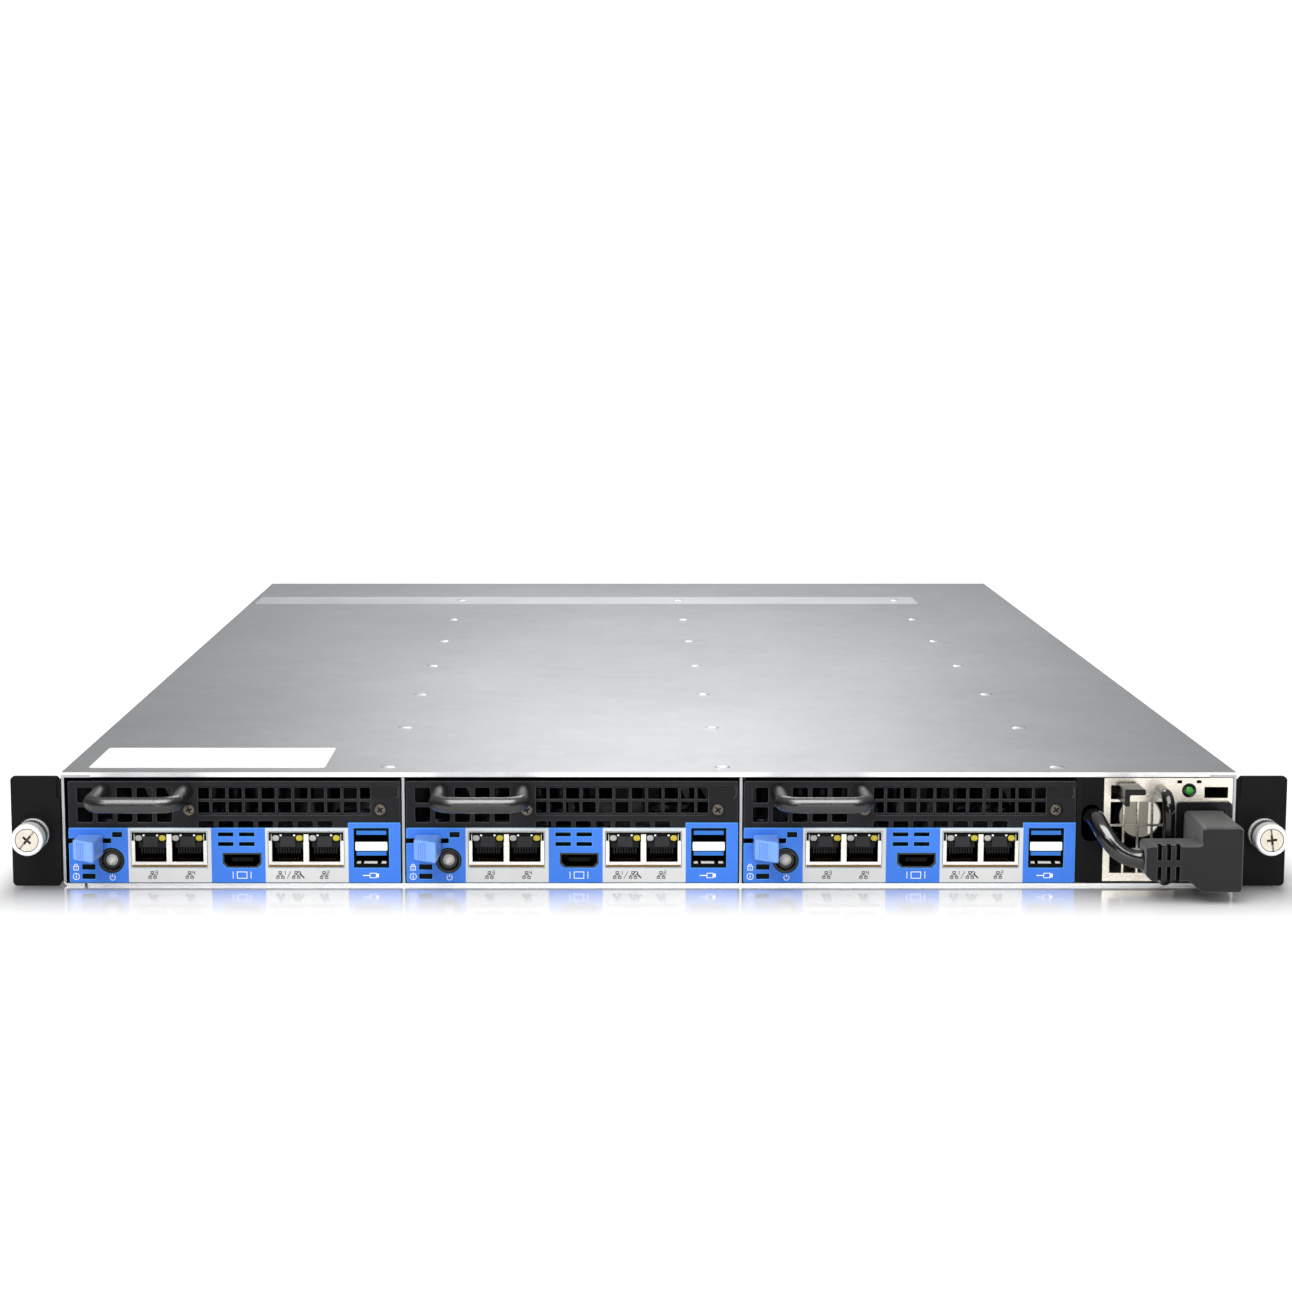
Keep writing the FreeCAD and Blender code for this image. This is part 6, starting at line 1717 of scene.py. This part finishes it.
@dataclass
class PowerSupply:
    """Pull-out power supply with its grille, handle, latch, lamp and inlet."""

    lamp_radius: float = 1.5
    lamp_turn: float = -0.2

    def build(self) -> Iterator[bpy.types.Object]:
        """Dress the supply.

        Returns:
            No piece, because the solids have every form.
        """
        axis = axis_of("psu_status_lamp")
        dress_plain({"psu_case": PSU_NICKEL, "psu_handle": BLACK_GLOSS, "psu_latch": LATCH_SATIN,
                     "psu_inlet": INLET_GLOSS, "psu_fan_frame": BLACK_PLASTIC})
        dress("psu_status_lamp", BLACK_GLOSS,
              (LENS_GREEN, lambda p, n: off_axis(p, axis) < self.lamp_radius and n.y < self.lamp_turn))
        return iter(())


@dataclass
class MainsLead:
    """Mains lead from the rear inlet to the right-angle plug on the front."""

    route: tuple[Point, ...] = (
        (167.55, 631.5, 27.4), (167.55, 9.0, 27.4), (167.5, -4.0, 26.2), (166.5, -14.5, 29.4),
        (168.0, -24.3, 24.9), (173.2, -28.2, 17.9), (181.5, -28.5, 15.4), (187.9, -28.5, 15.84))
    diameter: float = 6.8
    length: float = 676.3
    rim_turn: float = 0.25
    relief_x: Flat = (185.8, 194.3)
    relief_y: Flat = (-34.9, -31.9)
    relief_z: Flat = (9.3, 22.4)
    body: str = "power_lead"

    def build(self) -> Iterator[bpy.types.Object]:
        """Dress the plug and lay the lead.

        Returns:
            The lead.
        """
        # Black in the strain relief's slots is painted shade.
        dress("power_plug", PLUG_RUBBER, (PLUG_EDGE_HIGHLIGHT, self.on_highlit_rim), (PORT_BLACK, self.in_shaded_relief))
        curve = bpy.data.curves.new("mains_lead", "CURVE")
        curve.dimensions = "3D"
        curve.bevel_depth = self.diameter / 2 * MM
        curve.bevel_resolution = 6
        curve.resolution_u = 16
        curve.use_fill_caps = True
        spline = curve.splines.new("NURBS")
        spline.points.add(len(self.route) - 1)
        for point, place in zip(spline.points, self.route):
            point.co = (place[0] * MM, place[1] * MM, place[2] * MM, 1.0)
        spline.order_u = 3
        spline.use_endpoint_u = True
        curve.materials.append(CORD_RUBBER.material())
        lead = put("mains_lead", curve)
        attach(lead, self.body)
        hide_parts("power_cord")
        start = tuple(value * MM for value in self.route[0])
        yield lead

    def on_highlit_rim(self, place: Vector, normal: Vector) -> bool:
        """Whether a face belongs to the rounded upper edge of the plug's front, which takes a lighter
        painted highlight.
        """
        return normal.y < -self.rim_turn and normal.z > self.rim_turn

    def in_shaded_relief(self, place: Vector, normal: Vector) -> bool:
        """Whether a face lies in the slots of the plug's strain relief, whose black is painted shade."""
        return inside(place, self.relief_x, self.relief_y, self.relief_z)


def turned_to(direction: Vector) -> Euler:
    """Rotation of a light that shines in a direction."""
    return direction.to_track_quat("-Z", "Y").to_euler()


@dataclass(frozen=True)
class Panel:
    """Soft light panel: where it hangs, the point it faces, its width and height, and its watts."""

    name: str
    place: Point
    aim: Point
    size: Flat
    power: float

    def hang(self) -> bpy.types.Object:
        """Hang the panel out of the camera's sight.

        Returns:
            The light.
        """
        data = bpy.data.lights.new(self.name, "AREA")
        data.shape = "RECTANGLE"
        data.size = self.size[0]
        data.size_y = self.size[1]
        data.energy = self.power
        lamp = put(self.name, data)
        lamp.location = self.place
        lamp.rotation_euler = turned_to(Vector(self.aim) - Vector(self.place))
        lamp.visible_camera = False
        return lamp


@dataclass
class Studio:
    """Pale floor, soft lights and the camera."""

    reach: float = 6.0
    # Camera.
    eye: Point = (-0.0199, -0.9741, 0.2228)
    pitch: float = 7.667
    lens: float = 72.84
    sensor: float = 36.0
    shift: float = 0.0386
    clip: Flat = (0.01, 50.0)
    # Surroundings: light to the eye, and tones in reflections by height and by depth.
    surround: float = 0.75
    backdrop: float = 1.1
    floor_tone: Colour = (0.06, 0.061, 0.063, 1.0)
    wall_tone: Colour = (0.2, 0.2, 0.204, 1.0)
    wall_height: float = 0.35
    ceiling_tone: Colour = (0.9, 0.9, 0.9, 1.0)
    depth_band: Flat = (-0.35, 0.35)
    depth_tones: Flat = (0.6, 1.0)
    # Lights.
    key_from: Point = (-0.25, -0.6, 0.75)
    key_power: float = 1.75
    key_spread: float = 50.0
    panels: tuple[Panel, ...] = (
        Panel("front_panel", (0.15, -2.2, 0.45), (0.0, 0.0, 0.02), (1.2, 0.7), 7.0),
        Panel("strip_panel", (-0.55, -1.25, 1.05), (0.1, 0.0, 0.0), (0.9, 0.22), 6.0),
        Panel("rear_panel", (0.03, 1.05, 0.72), (0.0, 0.0, 0.0), (0.42, 0.28), 2.4))
    streak_panel: Panel = Panel("streak_panel", (0.1, -0.45, 1.2), (0.05, -0.02, 0.03), (1.3, 1.0), 42.0)
    fill_panel: Panel = Panel("fill_panel", (0.1, -0.95, 0.3), (0.19, 0.0, 0.02), (0.3, 0.3), 6.5)

    def build(self) -> None:
        """Set up the floor, the surroundings, the lights and the camera."""
        self.floor()
        self.world()
        self.key_light()
        for panel in self.panels:
            panel.hang()
        self.camera()

    def streak(self, pieces: Sequence[bpy.types.Object]) -> None:
        """Hang an overhead panel that shows as a bright streak on dark rods and on the lead.

        Args:
            pieces: the pieces that mirror the panel.
        """
        lamp = self.streak_panel.hang()
        lamp.visible_diffuse = False
        lamp.light_linking.receiver_collection = self.group("streaked", pieces)

    def fill(self, pieces: Sequence[bpy.types.Object]) -> None:
        """Hang a small fill light for pieces that sit deep behind a grille.

        Args:
            pieces: the pieces that it falls on.
        """
        lamp = self.fill_panel.hang()
        deep = self.group("filled", pieces)
        lamp.light_linking.receiver_collection = deep
        lamp.light_linking.blocker_collection = deep

    @staticmethod
    def group(name: str, pieces: Sequence[bpy.types.Object]) -> bpy.types.Collection:
        """Put pieces in a group of their own.

        Args:
            name: the group's name.
            pieces: its pieces.

        Returns:
            The group.
        """
        group = bpy.data.collections.new(name)
        for piece in pieces:
            group.objects.link(piece)
        return group

    def floor(self) -> None:
        """Lay a wide pale floor under the part."""
        mesh = bpy.data.meshes.new("floor")
        side = (-self.reach, self.reach)
        mesh.from_pydata(rect(side, side, 0.0), [], [(0, 1, 2, 3)])
        mesh.materials.append(FLOOR_PALE.material())
        put("floor", mesh)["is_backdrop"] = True

    def world(self) -> None:
        """White surroundings to the eye, and softly shaded ones in reflections."""
        world = bpy.data.worlds.new("studio")
        world.use_nodes = True
        book = NodeBook(world.node_tree)
        view = book.add("ShaderNodeTexCoord").outputs["Generated"]
        split = book.add("ShaderNodeSeparateXYZ", {0: view})
        height = book.add("ShaderNodeValToRGB", {0: split.outputs["Z"]})
        stops = height.color_ramp.elements
        stops[0].color = self.floor_tone
        stops[1].color = self.ceiling_tone
        stops.new(self.wall_height).color = self.wall_tone
        depth = book.span(split.outputs["Y"], *self.depth_tones, *self.depth_band)
        shaded = book.add("ShaderNodeBackground", {0: height.outputs[0], 1: depth})
        path = book.add("ShaderNodeLightPath")
        level = book.span(path.outputs["Is Camera Ray"], self.surround, self.backdrop, 0.0, 1.0)
        bright = book.add("ShaderNodeBackground", {0: (1.0, 1.0, 1.0, 1.0), 1: level})
        kinds = {0: path.outputs["Is Glossy Ray"], 1: bright.outputs[0], 2: shaded.outputs[0]}
        book.add("ShaderNodeOutputWorld", {0: book.add("ShaderNodeMixShader", kinds).outputs[0]})
        bpy.context.scene.world = world

    def key_light(self) -> None:
        """Hang a far, wide key light that falls alike on the part and the floor."""
        data = bpy.data.lights.new("key_light", "SUN")
        data.energy = self.key_power
        data.angle = math.radians(self.key_spread)
        lamp = put("key_light", data)
        lamp.rotation_euler = turned_to(-Vector(self.key_from))
        lamp.visible_glossy = False

    def camera(self) -> None:
        """Place the camera at the photograph's viewing angle."""
        data = bpy.data.cameras.new("camera")
        data.sensor_width = self.sensor
        data.lens = self.lens
        data.shift_x = self.shift
        data.clip_start = self.clip[0]
        data.clip_end = self.clip[1]
        eye = put("camera", data)
        eye.location = self.eye
        eye.rotation_euler = (math.radians(90 - self.pitch), 0.0, 0.0)
        bpy.context.scene.camera = eye
        bpy.context.scene.view_settings.view_transform = "Standard"


def main() -> None:
    """Build every sub-assembly in order and report its pieces."""
    logging.basicConfig(level=logging.INFO, format="%(name)s: %(message)s")
    studio = Studio()
    studio.build()
    sleds = (1, 2, 3)
    assemblies = [MainsLead(), Chassis()]
    for number in sleds:
        assemblies += [SledFront(number), SledPorts(number), SledBoard(number)]
    assemblies += [Thumbscrew(side) for side in ("left", "right")]
    assemblies += [Fan(f"fan_rotor_{number}", f"fan_{number}") for number in range(1, 7)]
    assemblies += [Fan("psu_fan_rotor", "psu_fan"), PowerSupply()]
    filled = []
    streaked = [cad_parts[f"sled_{number}_handle"] for number in sleds]
    streaked.append(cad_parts["psu_handle"])
    for assembly in assemblies:
        for piece in assembly.build():
            log.info("%s made", piece.name)
            if isinstance(assembly, MainsLead):
                streaked.append(piece)
            elif isinstance(assembly, Fan):
                filled.append(piece)
    studio.streak(streaked)
    studio.fill(filled)
    boxes = {"cad": CAD_BOX, "visual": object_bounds()}
    sizes = {name: [list(corner) for corner in box] for name, box in boxes.items()}


if __name__ == "__main__":
    main()
